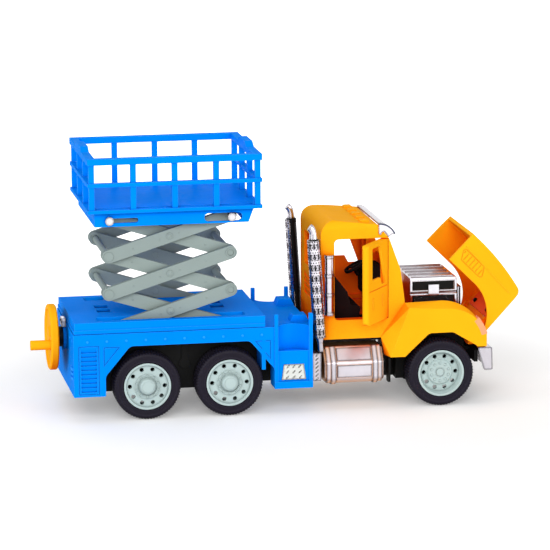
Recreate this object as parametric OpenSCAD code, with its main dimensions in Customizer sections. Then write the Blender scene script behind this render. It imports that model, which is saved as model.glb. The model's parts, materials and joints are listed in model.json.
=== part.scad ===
// Toy truck with a hand-cranked scissor lift.
// Millimetres, +X forward, +Z up. Stations count from the rear face of the bed,
// heights from the ground.

/* [Body] */
// Width over the bed walls and the fenders
body_w = 76; // [68:0.5:84]
// Thickness of the moulded walls
wall_t = 2; // [1.7:0.1:2.3]
// Length of the lift deck
bed_len = 105.5; // [104:0.1:107]
// Height of the lift deck
deck_z = 55.1; // [54:0.1:57]
// Height of the side walls
wall_z = 48.7; // [48:0.1:49.5]
// Setback of the deck from the walls
deck_inset = 0.8; // [0.5:0.1:1.2]
// Stand-out and height of the deck's lip
deck_lip = [0.4, 1.9]; // [0.2:0.1:2.2]
// Depth of the blind pockets in the deck
pocket_d = 1; // [0.6:0.1:1.4]
// Length of the blind pockets
pocket_len = 7.6; // [6:0.1:9]
// Height of the lower edge of the bed
bed_bottom_z = 14.2; // [12:0.1:16]
// Length of the box behind the rear wheels
rear_box_len = 17.4; // [15:0.1:18.5]
// Height where the wheel arches begin to slant
arch_knee_z = 25.3; // [23:0.1:28]
// Height of the top of the wheel arches
arch_top_z = 41.5; // [40.6:0.1:42]
// Length of the slant of the bed's wheel arch
arch_slant = 13.6; // [11:0.1:15]
// Radius of the wheel arches' upper corners
arch_r = 4; // [2:0.1:6]
// Length of the wall panel in front of the bed's wheel arch
panel_len = 5; // [4:0.1:7]
// Width of the wall between the arch and the step box
panel_back = 0; // [0:0.1:1]
// Width and depth of the engraved lines
groove = [0.5, 0.4]; // [0.3:0.1:0.8]
// Rear and front end of the side vents
vent_x = [4, 12.6]; // [3:0.1:14]
// Lower and upper end of the side vents
vent_z = [16.8, 41]; // [16:0.1:43]
// Number of louvres in a side vent
vent_count = 10; // [6:1:12]
// Depth of the louvres
vent_d = 0.8; // [0.5:0.1:1.1]
// Margin of the frame around a vent
vent_margin = 1.4; // [1:0.1:1.6]

/* [Low deck] */
// Length of the low deck behind the cab
low_deck_len = 26.2; // [24:0.1:26.8]
// Width of the upright ribs that end in stakes
rib_w = 2; // [1.5:0.1:2.5]
// Stand-out of the ribs from the wall
rib_d = 0.6; // [0.3:0.1:1]
// Height of the stakes
stake_z = 55.6; // [53:0.1:58]
// Depth of the step boxes across the truck
step_box_d = 13; // [11:0.1:13.4]
// Stand-out and height of the step boxes' lip
step_lip = [1, 3.8]; // [0.5:0.1:5]
// Height of the ledge of the step boxes
scoop_z = 35; // [33:0.1:37]
// Radius of the scoop above the ledge
scoop_r = 8.6; // [7.6:0.1:8.8]
// Depth of the scoop
scoop_d = 7; // [5:0.1:8]
// Length, width and height of the pads behind the cab
pad_size = [10.4, 9, 3.8]; // [2:0.1:12]
// Slant of the pads' ends
pad_slant = 1.6; // [0.5:0.1:2.5]
// Lower and upper edge of the tread plates
tread_z = [19, 27.6]; // [18.4:0.1:31]
// Lower and upper length of the tread plates
tread_len = [13.6, 11.2]; // [8:0.1:15]
// Thickness of the tread plates
tread_t = 0.5; // [0.3:0.1:0.8]

/* [Chassis] */
// Gap between the chassis walls and the tyres
tub_gap = 1.4; // [1.2:0.1:2.4]
// Gap between the chassis and the fuel tanks
spine_gap = 3; // [2:0.1:6]
// Thickness of the chassis walls
tub_t = 1.6; // [1.2:0.1:2]
// Height of the chassis' underside
tub_z = 13.4; // [12:0.1:14]
// Height of the middle of the chassis
spine_z = 25; // [23.6:0.1:27]
// Radius of the axle bosses
axle_boss_r = 4.6; // [3.6:0.1:5]
// Stand-out of the bosses from the chassis walls
boss_t = 0.7; // [0.4:0.1:0.9]
// Thickness of the plate under the cab
cab_plate_t = 1.6; // [1.2:0.1:1.7]

/* [Wheels] */
// Outer radius of the tyres
tyre_r = 18.5; // [17.6:0.1:19]
// Width of the tyres
tyre_w = 13.6; // [12:0.1:13.8]
// Bulge of the tyres' side walls
tyre_bulge = 0.7; // [0.3:0.1:1]
// Width of the tyres' shoulders
tyre_shoulder = 2; // [1.2:0.1:2.8]
// Radius of the rims
rim_r = 12.9; // [12:0.1:13.6]
// Thickness of the rims' outer lip
rim_lip = 1.1; // [0.8:0.1:1.4]
// Setback of the tyres from the body's sides
tyre_inset = 0.6; // [0:0.1:1]
// Radius of the axle rods
axle_r = 2; // [1.6:0.1:2.2]
// Rearmost axle
axle_1_x = 40.3; // [39.6:0.1:41]
// Second axle
axle_2_x = 85.7; // [85:0.1:86.4]
// Front axle, from the front of the cab
axle_3_dx = 19.1; // [18.4:0.1:19.8]
// Number of holes in a rim
rim_holes = 10; // [6:1:12]
// Radius of the holes in a rim
rim_hole_r = 1.2; // [0.8:0.1:1.5]
// Radius of the ring of holes in the rear rims
rear_ring_r = 9.6; // [9:0.1:10]
// Radius of the ring of holes in the front rims
front_ring_r = 9; // [8.6:0.1:9.2]
// Depth of the rear rims' disc behind the lip
rear_dish = 1.2; // [0.8:0.1:2]
// Depth of the front rims' disc behind the lip
front_dish = 4; // [3:0.1:5]
// Radius of the raised middle of a rim's disc
rim_plate_r = 7.4; // [6.8:0.1:7.6]
// Radius of the rear hubs
hub_r = 4.2; // [3.6:0.1:4.6]
// Length of the rear hubs in front of the disc
hub_len = 3; // [2:0.1:3.6]

/* [Fits] */
// Radial clearance of the running pins
run_clear = 0.06; // [0.04:0.01:0.08]
// Clearance of sliding pins and of moving panels
slide_clear = 0.5; // [0.4:0.05:0.6]
// Gap between pieces that are fixed to each other
seat_gap = 0.2; // [0.1:0.05:0.3]
// Overrun of cuts
over = 1; // [0.5:0.1:1.5]

/* [Lift] */
// Length of a scissor arm between its end pivots
arm_len = 70; // [69:0.1:71]
// Width of a scissor arm
arm_w = 7.2; // [6.4:0.1:7.4]
// Thickness of a scissor arm
arm_t = 3; // [2.6:0.1:3.1]
// Angle of the arms as shown
lift_angle = 17.17; // [15:0.01:20]
// Setback of the inner arms from the body's sides
arm_inset = 13.6; // [13.2:0.1:14.4]
// Gap between an inner and an outer arm
arm_gap = 0.6; // [0.4:0.1:0.8]
// Radius of the lift's pins
pin_r = 1.8; // [1.5:0.1:2]
// Radius and thickness of the arms' bosses
arm_boss = [2.6, 0.4]; // [0.3:0.1:3]
// Fixed lower pivot
pivot_x = 20.8; // [20:0.1:21.6]
// Height of the lower pivots
pivot_z = 48.5; // [48:0.1:49]
// Rear and front end of the deck slots
slot_x = [14, 95.6]; // [13:0.1:97]
// Reach of the slide guides to the rear and front
guide_reach = [16.6, 7.5]; // [7:0.1:17.4]

/* [Platform] */
// Length of the platform
platform_len = 95.2; // [94:0.1:97]
// Overhang of the platform over the body's sides
platform_over = 2; // [1:0.1:4]
// Rear end of the platform
platform_x = 8.8; // [8:0.1:9.6]
// Height of the railing above the platform floor
rail_h = 28; // [24:0.1:36]
// Thickness of the platform floor
floor_t = 1.8; // [1.4:0.1:2.2]
// Height of the raised panel of the platform floor
floor_panel = 0.4; // [0.3:0.1:0.6]
// Floor's underside above the upper pivots
floor_rise = 4.7; // [4.4:0.1:5.4]
// Depth of the skirt below the floor
skirt_h = 7.9; // [7.6:0.1:8.4]
// Setback of the skirt from the edge of the floor
skirt_inset = 4; // [3.6:0.1:4.4]
// Slant of the skirt's ends
skirt_slant = [0, 3]; // [0:0.1:4]
// Width and height of the top rail
top_rail = [4.4, 3.4]; // [3:0.1:5]
// Width and height of the middle rail
mid_rail = [3.4, 2]; // [1.6:0.1:4]
// Height of the middle rail above the floor
mid_rail_z = 12.6; // [10:0.1:15]
// Width of the railing's posts
post_w = 3; // [2.4:0.1:3.4]
// Setback of the posts from the rails' outer faces
post_inset = 0.8; // [0.4:0.1:1]
// Bays of the railing along a side
side_bays = 4; // [2:1:6]
// Bays of the railing along an end
end_bays = 3; // [2:1:5]
// Radius of the heads of the platform's pins
pin_head_r = 2.3; // [2.1:0.1:2.6]
// Thickness of those heads
pin_head_t = 1.2; // [0.8:0.1:1.6]
// Length, height and slant of the end rails' clips
clip_size = [28, 2.4, 5]; // [2:0.1:30]

/* [Crank] */
// Radius of the crank wheel
crank_r = 18.2; // [16:0.1:20]
// Thickness of the crank wheel
crank_t = 4.4; // [3.6:0.1:5]
// Height of the crank's axis
crank_z = 40.5; // [40:0.1:41]
// Gap between the bed and the crank wheel
crank_gap = 5.2; // [4.6:0.1:6]
// Radius of the crank shaft
crank_shaft_r = 2; // [1.6:0.1:2.4]
// Radius of the bearing on the rear face
crank_boss_r = 5.6; // [4.6:0.1:6]
// Radius and thickness of the rear boss
rear_boss = [7, 1.6]; // [1:0.1:8]
// Radius of the handle
handle_r = 2.7; // [2.3:0.1:3]
// Length of the handle behind the wheel
handle_len = 11; // [9:0.1:13]
// Distance of the handle from the crank's axis
handle_orbit = 12.6; // [11:0.1:12.8]
// Angle of the handle, from straight up to the right
handle_angle = 98; // [0:1:359]
// Width of the wheel's rim
crank_rim = 2.4; // [2:0.1:3]
// Depth of the recess in the wheel's face
crank_recess = 0.9; // [0.5:0.1:1.4]
// Chamfer of the wheel's edges
crank_edge = 0.7; // [0.4:0.1:1]

/* [Cab] */
// Rear wall of the cab
cab_x = 137.9; // [137.6:0.1:138.4]
// Length of the cab at its foot
cab_len = 47; // [46.4:0.1:47.6]
// Width of a fender beside the cab
fender_w = 8; // [7.5:0.1:9]
// Lower edge of the cab
cab_z0 = 38.6; // [38.4:0.1:39]
// Top of the roof
roof_z = 104.4; // [103:0.1:106]
// Fall of the roof towards the front
roof_fall = 2.6; // [1:0.1:3.4]
// Radius of the rear edge of the roof
roof_r = 8; // [6:0.1:9]
// Setback of the roof's front edge from the cab's front
roof_back = 15; // [14:0.1:16]
// Setback and height of the windscreen's upper edge
screen_top = [8.6, 94]; // [8:0.1:96]
// Setback and height of the windscreen's lower edge
screen_foot = [2.3, 76.5]; // [2:0.1:78]
// Radius of the cab's long roof edges
cab_edge_r = 5; // [3:0.1:6]
// Radius of the small edges
edge_r = 1.5; // [1:0.1:2]
// Width of the windscreen opening as a share of the cab
screen_share = 0.84; // [0.7:0.01:0.86]
// Width of the rear window as a share of the cab
rear_window_share = 0.62; // [0.4:0.01:0.66]
// Lower and upper edge of the rear window
rear_window_z = [73, 92]; // [72:0.1:93]
// Lower and upper end of the rear louvres
louvre_z = [56, 69]; // [55:0.1:70]
// Number of louvres on the rear wall
louvre_count = 4; // [2:1:6]
// Length, width and height of a roof marker
marker_size = [5, 5.6, 1.8]; // [1.4:0.1:6]
// Setback of the roof markers
marker_back = 4; // [3:0.1:5]
// Number of roof markers
marker_count = 5; // [3:1:5]
// Radius of the sun visor's arc
visor_r = 9.75; // [9.4:0.05:10]
// Thickness of the sun visor
visor_t = 0.9; // [0.7:0.1:1.1]
// Angles of the sun visor's lower and upper edge
visor_angles = [22, 93]; // [18:1:94]
// Drop of the seats below the door sill
seat_rise = 6; // [4:0.1:8]
// Length of the seat cushion
seat_len = 22; // [20:0.1:23]
// Width of a seat as a share of half the cab's inside
seat_share = 0.76; // [0.6:0.01:0.8]
// Height of the seat backs
seat_back_z = 72; // [70:0.1:73]
// Depth of the dashboard
dash_len = 11; // [9:0.1:11.6]
// Height of the dashboard's top
dash_z = 71.5; // [69:0.1:73]
// Radius of the steering wheel
wheel_r = 6; // [5:0.1:6.6]
// Thickness of the steering wheel's rim
wheel_t = 1.4; // [1:0.1:1.8]
// Tilt of the steering wheel
wheel_tilt = 30; // [25:1:45]
// Number of spokes of the steering wheel
spoke_count = 3; // [2:1:4]

/* [Doors] */
// Rear edge of the door opening, from the cab's rear wall
door_x = 7.6; // [7:0.1:8.4]
// Hinge axis of the doors, from the cab's rear wall
door_hinge_x = 36.4; // [36:0.1:36.8]
// Lower and upper edge of the door openings
door_z = [49.2, 94.4]; // [49:0.1:94.8]
// Thickness of the doors
door_t = 4; // [3.6:0.1:4.4]
// Radius of the corners at the rear of the doors
door_corner_r = 2.4; // [1.6:0.1:3]
// Opening angle of the right door as shown
door_open = 55; // [40:1:60]
// Radius of the hinge pins
door_pin_r = 1; // [0.8:0.05:1.2]
// Length of the hinge pins
door_pin_len = 1; // [0.8:0.1:1.1]
// Lower edge of the door window
door_window_z = 74; // [72:0.1:76]
// Width of the frame around the door window
door_frame = 4.4; // [3.8:0.1:5]
// Length and depth of the window's notch
door_notch = [8, 4]; // [3:0.1:9]
// Length and height of the ribs on a door
door_rib = [1.5, 6]; // [1:0.1:8]
// Height of the ribs' middle
door_rib_z = 61; // [58:0.1:63]
// Stand-out of the ribs
door_rib_t = 0.4; // [0.2:0.05:0.5]

/* [Hood] */
// Height of the hood's top, closed
hood_z = 76.6; // [76:0.1:77.2]
// Setback of the hood's sides from the cab's sides
hood_inset = 0.6; // [0.5:0.1:1.5]
// Front of the hood at its foot, from the cab's front
hood_len = 44.2; // [43.8:0.1:44.6]
// Lean of the hood's front
hood_lean = 0.8; // [0.4:0.1:1.2]
// Radius of the arc along the hood's top
hood_arc_r = 140; // [120:1:170]
// Start of that arc, from the cab's front
hood_arc_x = 5; // [3:0.1:8]
// Radius of the hood's nose
nose_r = 4; // [3:0.1:5]
// Lower front corner of the hood
hood_foot_z = 42.6; // [42:0.1:43]
// Opening angle of the hood as shown
hood_open = 44.5; // [40:0.5:48]
// Hinge axis of the hood, from the cab's front
hood_hinge_x = 41.7; // [41.4:0.1:42]
// Height of the hood's hinge axis
hood_hinge_z = 38.3; // [38:0.1:38.6]
// Radius of the hood's hinge pins
hood_pin_r = 1.3; // [1:0.05:1.4]
// Radius of the hood's long edges
hood_edge_r = 2.2; // [2:0.1:3]
// Drop of the shoulder along the hood's sides below its top
hood_line_z = 7.8; // [6:0.1:9]
// Setback of the hood's sides at the top edge
hood_tilt = 1.2; // [0.6:0.1:1.6]
// Fall of the shoulder towards the nose
hood_fall = 3.4; // [0:0.1:5]
// Rear and front end of the hood vents
hood_vent_x = [1.4, 18]; // [1:0.1:20]
// Drop of the hood vents' upper and lower edge
hood_vent_z = [8.8, 15.4]; // [8:0.1:16]
// Columns of the hood's side vents
hood_vent_count = 7; // [4:1:9]
// Grille width as a share of the hood
grille_share = 0.72; // [0.6:0.01:0.76]
// Lower and upper edge of the grille
grille_z = [48, 65]; // [47:0.1:66]
// Number of grille bars
grille_bars = 9; // [5:1:12]
// Thickness of the grille
grille_t = 1.4; // [1:0.1:1.6]
// Width of the grille's frame
grille_frame = 1.8; // [1.2:0.1:2.4]

/* [Fenders] */
// Radius of the fenders' crown
crown_r = 26; // [25.4:0.1:26.6]
// Height of the crown's top
crown_z = 58.9; // [58.4:0.1:59.4]
// Gap between the hood and the crown
hood_gap = 0.9; // [0.7:0.1:1.2]
// Reach of the closed hood below the crown
hood_drop = 1.8; // [1:0.1:2.4]
// Middle of the crown's arc in front of the axle
crown_dx = 1.2; // [0.6:0.1:1.6]
// Drop and setback of the fenders' crease
crease = [3.2, 2]; // [1.5:0.1:4]
// Rear end of the fender, from the cab's front
fender_rear = -13.4; // [-14:0.1:-12.8]
// Height of the rear end of the fender
fender_rear_z = 38.8; // [38:0.1:40]
// Lower edge of the fender's rear foot
fender_z0 = 28.8; // [28:0.1:30]
// Front end of the fender's rear foot, from the cab's front
fender_foot = -1.4; // [-2:0.1:-0.8]
// Slope of the fender's rear flank, along the truck
fender_flank = 8; // [6:0.1:10]
// Front of the fenders, from the cab's front
fender_front = 45.3; // [44.8:0.1:45.8]
// Lower edge of the fender's front end
fender_nose_z = 32.8; // [32.4:0.1:33.4]
// Length of the fender in front of the wheel arch
fender_nose = 5; // [4.4:0.1:5.6]
// Flat length of the front wheel arch
front_arch_flat = 13.4; // [12:0.1:15]
// Height of the engine bay's floor
bay_z = 43.5; // [43.2:0.1:43.8]
// Radial depth and stand-out of the head lamps
lamp_size = [2.6, 0.7]; // [0.4:0.1:3.2]
// Angles of the head lamps' lower and upper edge
lamp_angles = [16, 39]; // [14:1:42]
// Width of the head lamps as a share of a fender
lamp_share = 0.82; // [0.7:0.01:0.88]

/* [Fittings] */
// Length of the fuel tanks
tank_len = 33.2; // [32:0.1:33.6]
// Height of the fuel tanks
tank_h = 20; // [19:0.1:20.4]
// Height of a fuel tank's underside
tank_z = 15; // [14.4:0.1:15.2]
// Depth of the fuel tanks across the truck
tank_d = 20; // [18:0.1:20.6]
// Depth and height of a tank's slant
tank_slant = [6, 8.4]; // [5:0.1:9]
// Radius of a tank's edges
tank_r = 2.4; // [1.6:0.1:3]
// Length of a tank's end caps
tank_cap = 1.2; // [0.8:0.1:1.6]
// Thickness and width of the tank straps
strap_size = [0.7, 2.6]; // [0.5:0.1:3]
// Distance of the straps from a tank's ends
strap_x = 3.6; // [3:0.1:5]
// Rear edge of the fuel tanks behind the cab's rear wall
tank_x = 0.8; // [0.4:0.1:1.2]
// Length, depth and height of the steps behind the tanks
tank_step = [4.8, 10, 15.6]; // [3:0.1:17]
// Height of those steps' underside
tank_step_z = 17.2; // [16:0.1:18]
// Radius of the exhaust pipes
pipe_r = 2.4; // [2:0.1:2.6]
// Radius of the thin pipe below the heat shields
tail_r = 1.6; // [1.2:0.1:1.8]
// Radius of the heat shields
shield_r = 3.6; // [3.4:0.1:3.7]
// Wall of the heat shields
shield_t = 0.6; // [0.5:0.1:0.8]
// Length of the exhausts' pipes
stack_len = 63; // [62.8:0.1:64]
// Start and end of the heat shields
shield_span = [8.2, 62.5]; // [7:0.1:63]
// Length of the taper below the heat shields
taper_len = 3; // [2:0.1:4]
// Lean of the exhausts to the rear
stack_lean = 3.5; // [2:0.1:4]
// Setback of the exhausts' axes from the body's sides
stack_inset = 4; // [3.6:0.1:4.2]
// Distance of the exhausts' tails behind the cab
stack_back = 0.9; // [0.7:0.1:1.1]
// Rows of slots in the heat shields
shield_rows = 9; // [5:1:12]
// Angle between the slots of a row
slot_step = 36; // [30:1:44]
// Turn of the heat shields towards the rear
shield_turn = 45; // [0:1:60]
// Radius of the exhaust tips
tip_r = 2; // [1.6:0.1:2.2]
// Bend radius of the exhaust tips
tip_bend_r = 5; // [4:0.1:6]
// Bend angle of the exhaust tips
tip_bend = 50; // [35:1:60]
// Radius of the air cleaners
cleaner_r = 2.4; // [2.1:0.1:2.5]
// Lower and upper end of the air cleaners
cleaner_z = [53, 86.6]; // [52:0.1:88]
// Distance of the air cleaners from the rear wall
cleaner_x = 4.2; // [4:0.1:4.6]
// Height of the bands around an air cleaner
band_h = 1.6; // [1:0.1:2.2]
// Stand-out of those bands
band_t = 0.3; // [0.2:0.05:0.4]
// Number of bands around an air cleaner
band_count = 4; // [2:1:5]
// Length, width and height of the engine's upper part
engine_size = [26.4, 40, 16]; // [14:0.1:42]
// Distance of the engine in front of the cab
engine_x = 5.4; // [5:0.1:6]
// Top of the engine
engine_z = 68.8; // [68:0.1:69.4]
// Chamfer of the engine's covers
engine_edge = 1.2; // [0.8:0.1:1.6]
// Width of the engine's foot as a share of the engine
engine_foot_share = 0.66; // [0.5:0.01:0.8]
// Length and height of the catch on the engine's sides
engine_catch = [6, 4.4]; // [3:0.1:7]
// Number of ribs on the engine's top
engine_ribs = 5; // [3:1:7]
// Thickness of the engine's ribs and fins
fin_t = 0.7; // [0.5:0.1:0.9]
// Number of fins at the engine's front
fin_count = 3; // [2:1:4]
// Length of the bumper at its top and at its foot
bumper_len = [8.6, 4.8]; // [4:0.1:9]
// Height of the bumper
bumper_h = 12.8; // [11:0.1:13]
// Lower edge of the bumper
bumper_z = 19.4; // [18:0.1:19.8]
// Front of the bumper, from the cab's front
bumper_x = 48.2; // [47.4:0.1:49]
// Lower edge of the mudflaps
flap_z = 14.4; // [13:0.1:16]
// Thickness of the mudflaps
flap_t = 1; // [0.8:0.1:1.3]

/* [Hidden] */
half_w = body_w / 2;
in_w = half_w - wall_t;
cab_half = half_w - fender_w;
cab_w = 2 * cab_half;
hood_half = cab_half - hood_inset;
hood_w = 2 * hood_half;
arm_y = half_w - arm_inset;
platform_w = body_w + 2 * platform_over;
tyre_face_y = half_w - tyre_inset;
stack_y = half_w - stack_inset;
spine_w = 2 * (half_w - wall_t / 2 - tank_d - spine_gap);
lamp_w = fender_w * lamp_share;
seat_w = (cab_half - door_t - wall_t) * seat_share;
cab_front = cab_x + cab_len;
low_deck_x1 = bed_len + low_deck_len;
panel_x1 = bed_len + panel_len;
arch_x1 = panel_x1 - panel_back;
outer_y = arm_y + arm_t + arm_gap;
outer_face_y = outer_y + arm_t;
lift_run = arm_len * cos(lift_angle);
lift_rise = arm_len * sin(lift_angle);
top_pivot_z = pivot_z + 3 * lift_rise;
slot_y = [arm_y - slide_clear * 2, outer_face_y + slide_clear * 2];
lug_y = slot_y[1];
deck_half = half_w - deck_inset;
deck_in = deck_half - wall_t;
floor_z = top_pivot_z + floor_rise;
skirt_y = platform_w / 2 - skirt_inset;
platform_x1 = platform_x + platform_len;
axle_z = tyre_r;
axle_3_x = cab_front + axle_3_dx;
tyre_in_y = tyre_face_y - tyre_w;
tub_w = 2 * (tyre_in_y - tub_gap);
handle_tip_x = -crank_gap - crank_t - handle_len;
hinge_x = cab_front + hood_hinge_x;
hood_x1 = cab_front + hood_len;
nose_x = hood_x1 - hood_lean;
nose_cx = nose_x - nose_r;
arc_cz = hood_z - hood_arc_r;
arc_cx = cab_front + hood_arc_x;
nose_cz = arc_cz + sqrt(pow(hood_arc_r - nose_r, 2) - pow(nose_cx - arc_cx, 2));
nose_turned = (nose_cx - hinge_x) * cos(hood_open) + (nose_cz - hood_hinge_z) * sin(hood_open);
nose_open_x = hinge_x + nose_turned + nose_r;
hood_lug_y = hood_half - 3 * wall_t;
crown_cz = crown_z - crown_r;
crown_x = axle_3_x + crown_dx;
front_x = cab_front + fender_front;
door_x0 = cab_x + door_x;
door_axis_x = cab_x + door_hinge_x;
door_axis_y = cab_half - door_t / 2;
door_len = door_hinge_x - door_x - slide_clear - door_t / 2;
door_reach_y = door_axis_y + door_len * sin(door_open) + door_t / 2;
roof_front = [cab_front - roof_back, roof_z - roof_fall];
visor_c = [roof_front[0] + edge_r / 2, roof_front[1] + visor_t - visor_r];
engine_z0 = engine_z - engine_size[2];
stack_z = tank_step_z + tank_step[2] + seat_gap;
origin_x = (handle_tip_x + nose_open_x) / 2;
origin_y = (platform_w / 2 - door_reach_y) / 2;
blue = [0.0, 0.45, 0.95];
yellow = [1.0, 0.7, 0.08];
arm_grey = [0.6, 0.67, 0.65];
black = [0.08, 0.08, 0.09];
chrome = [0.86, 0.87, 0.88];
steel = [0.75, 0.75, 0.77];
dark = [0.16, 0.11, 0.12];
rim_grey = [0.68, 0.77, 0.74];
lens = [1.0, 0.55, 0.4];
tyre_black = [0.17, 0.16, 0.2];
$fn = 48;

// Puts the origin on the ground below the middle
module placed() {
  translate([-origin_x, -origin_y, 0])
    children();
}

// The right side and its mirror image
module both_sides() {
  children();
  mirror([0, 1, 0])
    children();
}

module block(x0, x1, y0, y1, z0, z1) {
  translate([x0, y0, z0])
    cube([x1 - x0, y1 - y0, z1 - z0]);
}

// A side outline of x and z, extruded across the truck
module along_y(y0, y1) {
  translate([0, y1, 0])
    rotate([90, 0, 0])
      linear_extrude(height = y1 - y0)
        children();
}

// A front outline of y and z, extruded along the truck
module along_x(x0, x1) {
  translate([x0, 0, 0])
    rotate([90, 0, 90])
      linear_extrude(height = x1 - x0)
        children();
}

module rod_y(x, z, r, y0, y1) {
  translate([x, y1, z])
    rotate([90, 0, 0])
      cylinder(r = r, h = y1 - y0);
}

module rod_x(y, z, r, x0, x1) {
  translate([x0, y, z])
    rotate([0, 90, 0])
      cylinder(r = r, h = x1 - x0);
}

module rod_z(x, y, r, z0, z1) {
  translate([x, y, z0])
    cylinder(r = r, h = z1 - z0);
}

// Rounds the outward corners of an outline
module rounded(r) {
  offset(r = r)
    offset(delta = -r)
      children();
}

// Outline with rounded upper corners, seen from the front
module front_outline(w, z0, z1, r) {
  translate([-w / 2, z0])
    square([w, z1 - z0 - r]);
  translate([-w / 2 + r, z0])
    square([w - 2 * r, z1 - z0]);
  for (s = [-1, 1])
    translate([s * (w / 2 - r), z1 - r])
      circle(r = r);
}

// Engraved line along an outline on the right wall
module engraved(face_y) {
  along_y(-face_y - over, -face_y + groove[1])
    difference() {
      children();
      offset(delta = -groove[0])
        children();
    }
}

// Slot with round ends across the skirt or a guide
module slot_y(x0, x1, z, r, y0, y1) {
  rod_y(x0, z, r, y0, y1);
  rod_y(x1, z, r, y0, y1);
  block(x0, x1, y0, y1, z - r, z + r);
}

module arch_outline(x0, x1, z0, slant0, slant1, knee0, knee1) {
  rounded(arch_r)
    polygon([
      [x0, z0], [x1, z0], [x1, knee1], [x1 - slant1, arch_top_z], [x0 + slant0, arch_top_z], [x0, knee0]
    ]);
}

module bed_wall() {
  difference() {
    along_y(-half_w, -in_w)
      difference() {
        translate([0, bed_bottom_z])
          square([panel_x1, wall_z - bed_bottom_z]);
        arch_outline(rear_box_len, arch_x1, 0, arch_slant, arch_slant, arch_knee_z, arch_knee_z);
      }
    vent_cuts();
    engraved(half_w)
      translate([vent_x[0] - vent_margin, vent_z[0] - vent_margin])
        square([vent_x[1] - vent_x[0] + 2 * vent_margin, vent_z[1] - vent_z[0] + 2 * vent_margin]);
    engraved(half_w)
      corner_panel(rear_box_len - wall_t / 2, 1);
    engraved(half_w)
      corner_panel(panel_x1 - wall_t, -1);
  }
}

// Panel above an end of the wheel arch
module corner_panel(x, way) {
  z = arch_top_z;
  polygon([[x, z], [x + way * arch_slant * 2 / 3, z], [x, z - arch_slant * 4 / 5]]);
}

module vent_cuts() {
  pitch = (vent_z[1] - vent_z[0]) / vent_count;
  for (i = [0 : vent_count - 1])
    translate([0, 0, vent_z[0] + pitch * i])
      along_x(vent_x[0], vent_x[1])
        polygon([[-half_w - over, 0], [-half_w + vent_d, 0], [-half_w, pitch], [-half_w - over, pitch]]);
}

module scoop() {
  rod_z((panel_x1 + low_deck_x1) / 2, -half_w - scoop_r + scoop_d, scoop_r, scoop_z, wall_z + over);
}

module step_box() {
  difference() {
    union() {
      block(panel_x1, low_deck_x1, -half_w, -half_w + step_box_d, bed_bottom_z, wall_z);
      block(panel_x1, low_deck_x1, -half_w - step_lip[0], -in_w, bed_bottom_z, bed_bottom_z + step_lip[1]);
      for (x = [panel_x1, low_deck_x1 - rib_w])
        block(x, x + rib_w, -half_w - rib_d, -half_w + rib_w, bed_bottom_z, stake_z);
    }
    block(panel_x1 + wall_t, low_deck_x1 - wall_t, -in_w, -half_w + step_box_d - wall_t, bed_bottom_z - over,
      scoop_z - wall_t);
    scoop();
  }
}

module stack_pad() {
  x1 = low_deck_x1;
  y1 = -half_w + step_box_d - wall_t;
  along_y(y1, y1 + pad_size[1])
    polygon([
      [x1 - pad_size[0], wall_z - wall_t / 2], [x1, wall_z - wall_t / 2], [x1, wall_z],
      [x1 - pad_slant, wall_z + pad_size[2]], [x1 - pad_size[0] + pad_slant, wall_z + pad_size[2]],
      [x1 - pad_size[0], wall_z]
    ]);
}

// Lugs for the lower pins, with a guide at the front
module pivot_lugs() {
  guide_x = pivot_x + lift_run;
  g0 = guide_x - guide_reach[0];
  g1 = guide_x + guide_reach[1];
  top = pivot_z + arm_w / 2;
  y1 = deck_in - slide_clear;
  difference() {
    for (span = [[pivot_x - arm_w / 2, pivot_x + arm_w / 2], [g0, g1]]) {
      block(span[0], span[1], lug_y, in_w, arch_top_z, wall_z);
      block(span[0], span[1], lug_y, y1, arch_top_z, top);
    }
    rod_y(pivot_x, pivot_z, pin_r + run_clear, 0, half_w + over);
    slot_y(g0 + 2 * wall_t, g1 - 2 * wall_t, pivot_z, pin_r + slide_clear, lug_y - over, in_w);
  }
}

module bed_body() {
  color(blue) placed() {
    both_sides() {
      bed_wall();
      step_box();
      stack_pad();
      mirror([0, 1, 0])
        pivot_lugs();
    }
    difference() {
      union() {
        block(0, wall_t, -half_w, half_w, bed_bottom_z, wall_z);
        rod_x(0, crank_z, rear_boss[0], -rear_boss[1], wall_t);
      }
      rod_x(0, crank_z, crank_shaft_r + run_clear, -crank_gap, wall_t + over);
    }
    block(bed_len - wall_t, bed_len, -half_w, half_w, spine_z + seat_gap, wall_z);
    difference() {
      block(bed_len - wall_t, low_deck_x1, -half_w, half_w, wall_z - wall_t, wall_z);
      both_sides()
        scoop();
    }
  }
}

module bed_deck() {
  x0 = deck_inset;
  color(blue) placed()
    difference() {
      union() {
        block(x0, bed_len, -deck_half, deck_half, wall_z, deck_z);
        block(x0 - deck_lip[0], bed_len, -deck_half - deck_lip[0], deck_half + deck_lip[0],
          wall_z + deck_lip[0], wall_z + deck_lip[0] + deck_lip[1]);
      }
      block(x0 + wall_t, bed_len - wall_t, -deck_in, deck_in, wall_z - over, deck_z - wall_t);
      both_sides() {
        block(slot_x[0], slot_x[1], slot_y[0], slot_y[1], wall_z, deck_z + over);
        for (x = [pivot_x - pocket_len / 2, pivot_x + lift_run - pocket_len])
          block(x, x + pocket_len, wall_t, wall_t + pocket_len, deck_z - pocket_d, deck_z + over);
      }
    }
}

module step_plates() {
  mid = (panel_x1 + low_deck_x1) / 2;
  color(chrome) placed()
    both_sides()
      along_y(half_w, half_w + tread_t)
        polygon([
          [mid - tread_len[0] / 2, tread_z[0]], [mid + tread_len[0] / 2, tread_z[0]],
          [mid + tread_len[1] / 2, tread_z[1]], [mid - tread_len[1] / 2, tread_z[1]]
        ]);
}

module channel(x0, x1, w, z1) {
  difference() {
    block(x0, x1, -w / 2, w / 2, tub_z, z1);
    block(x0 - over, x1 + over, -w / 2 + tub_t, w / 2 - tub_t, tub_z + tub_t, z1 + over);
  }
}

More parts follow.
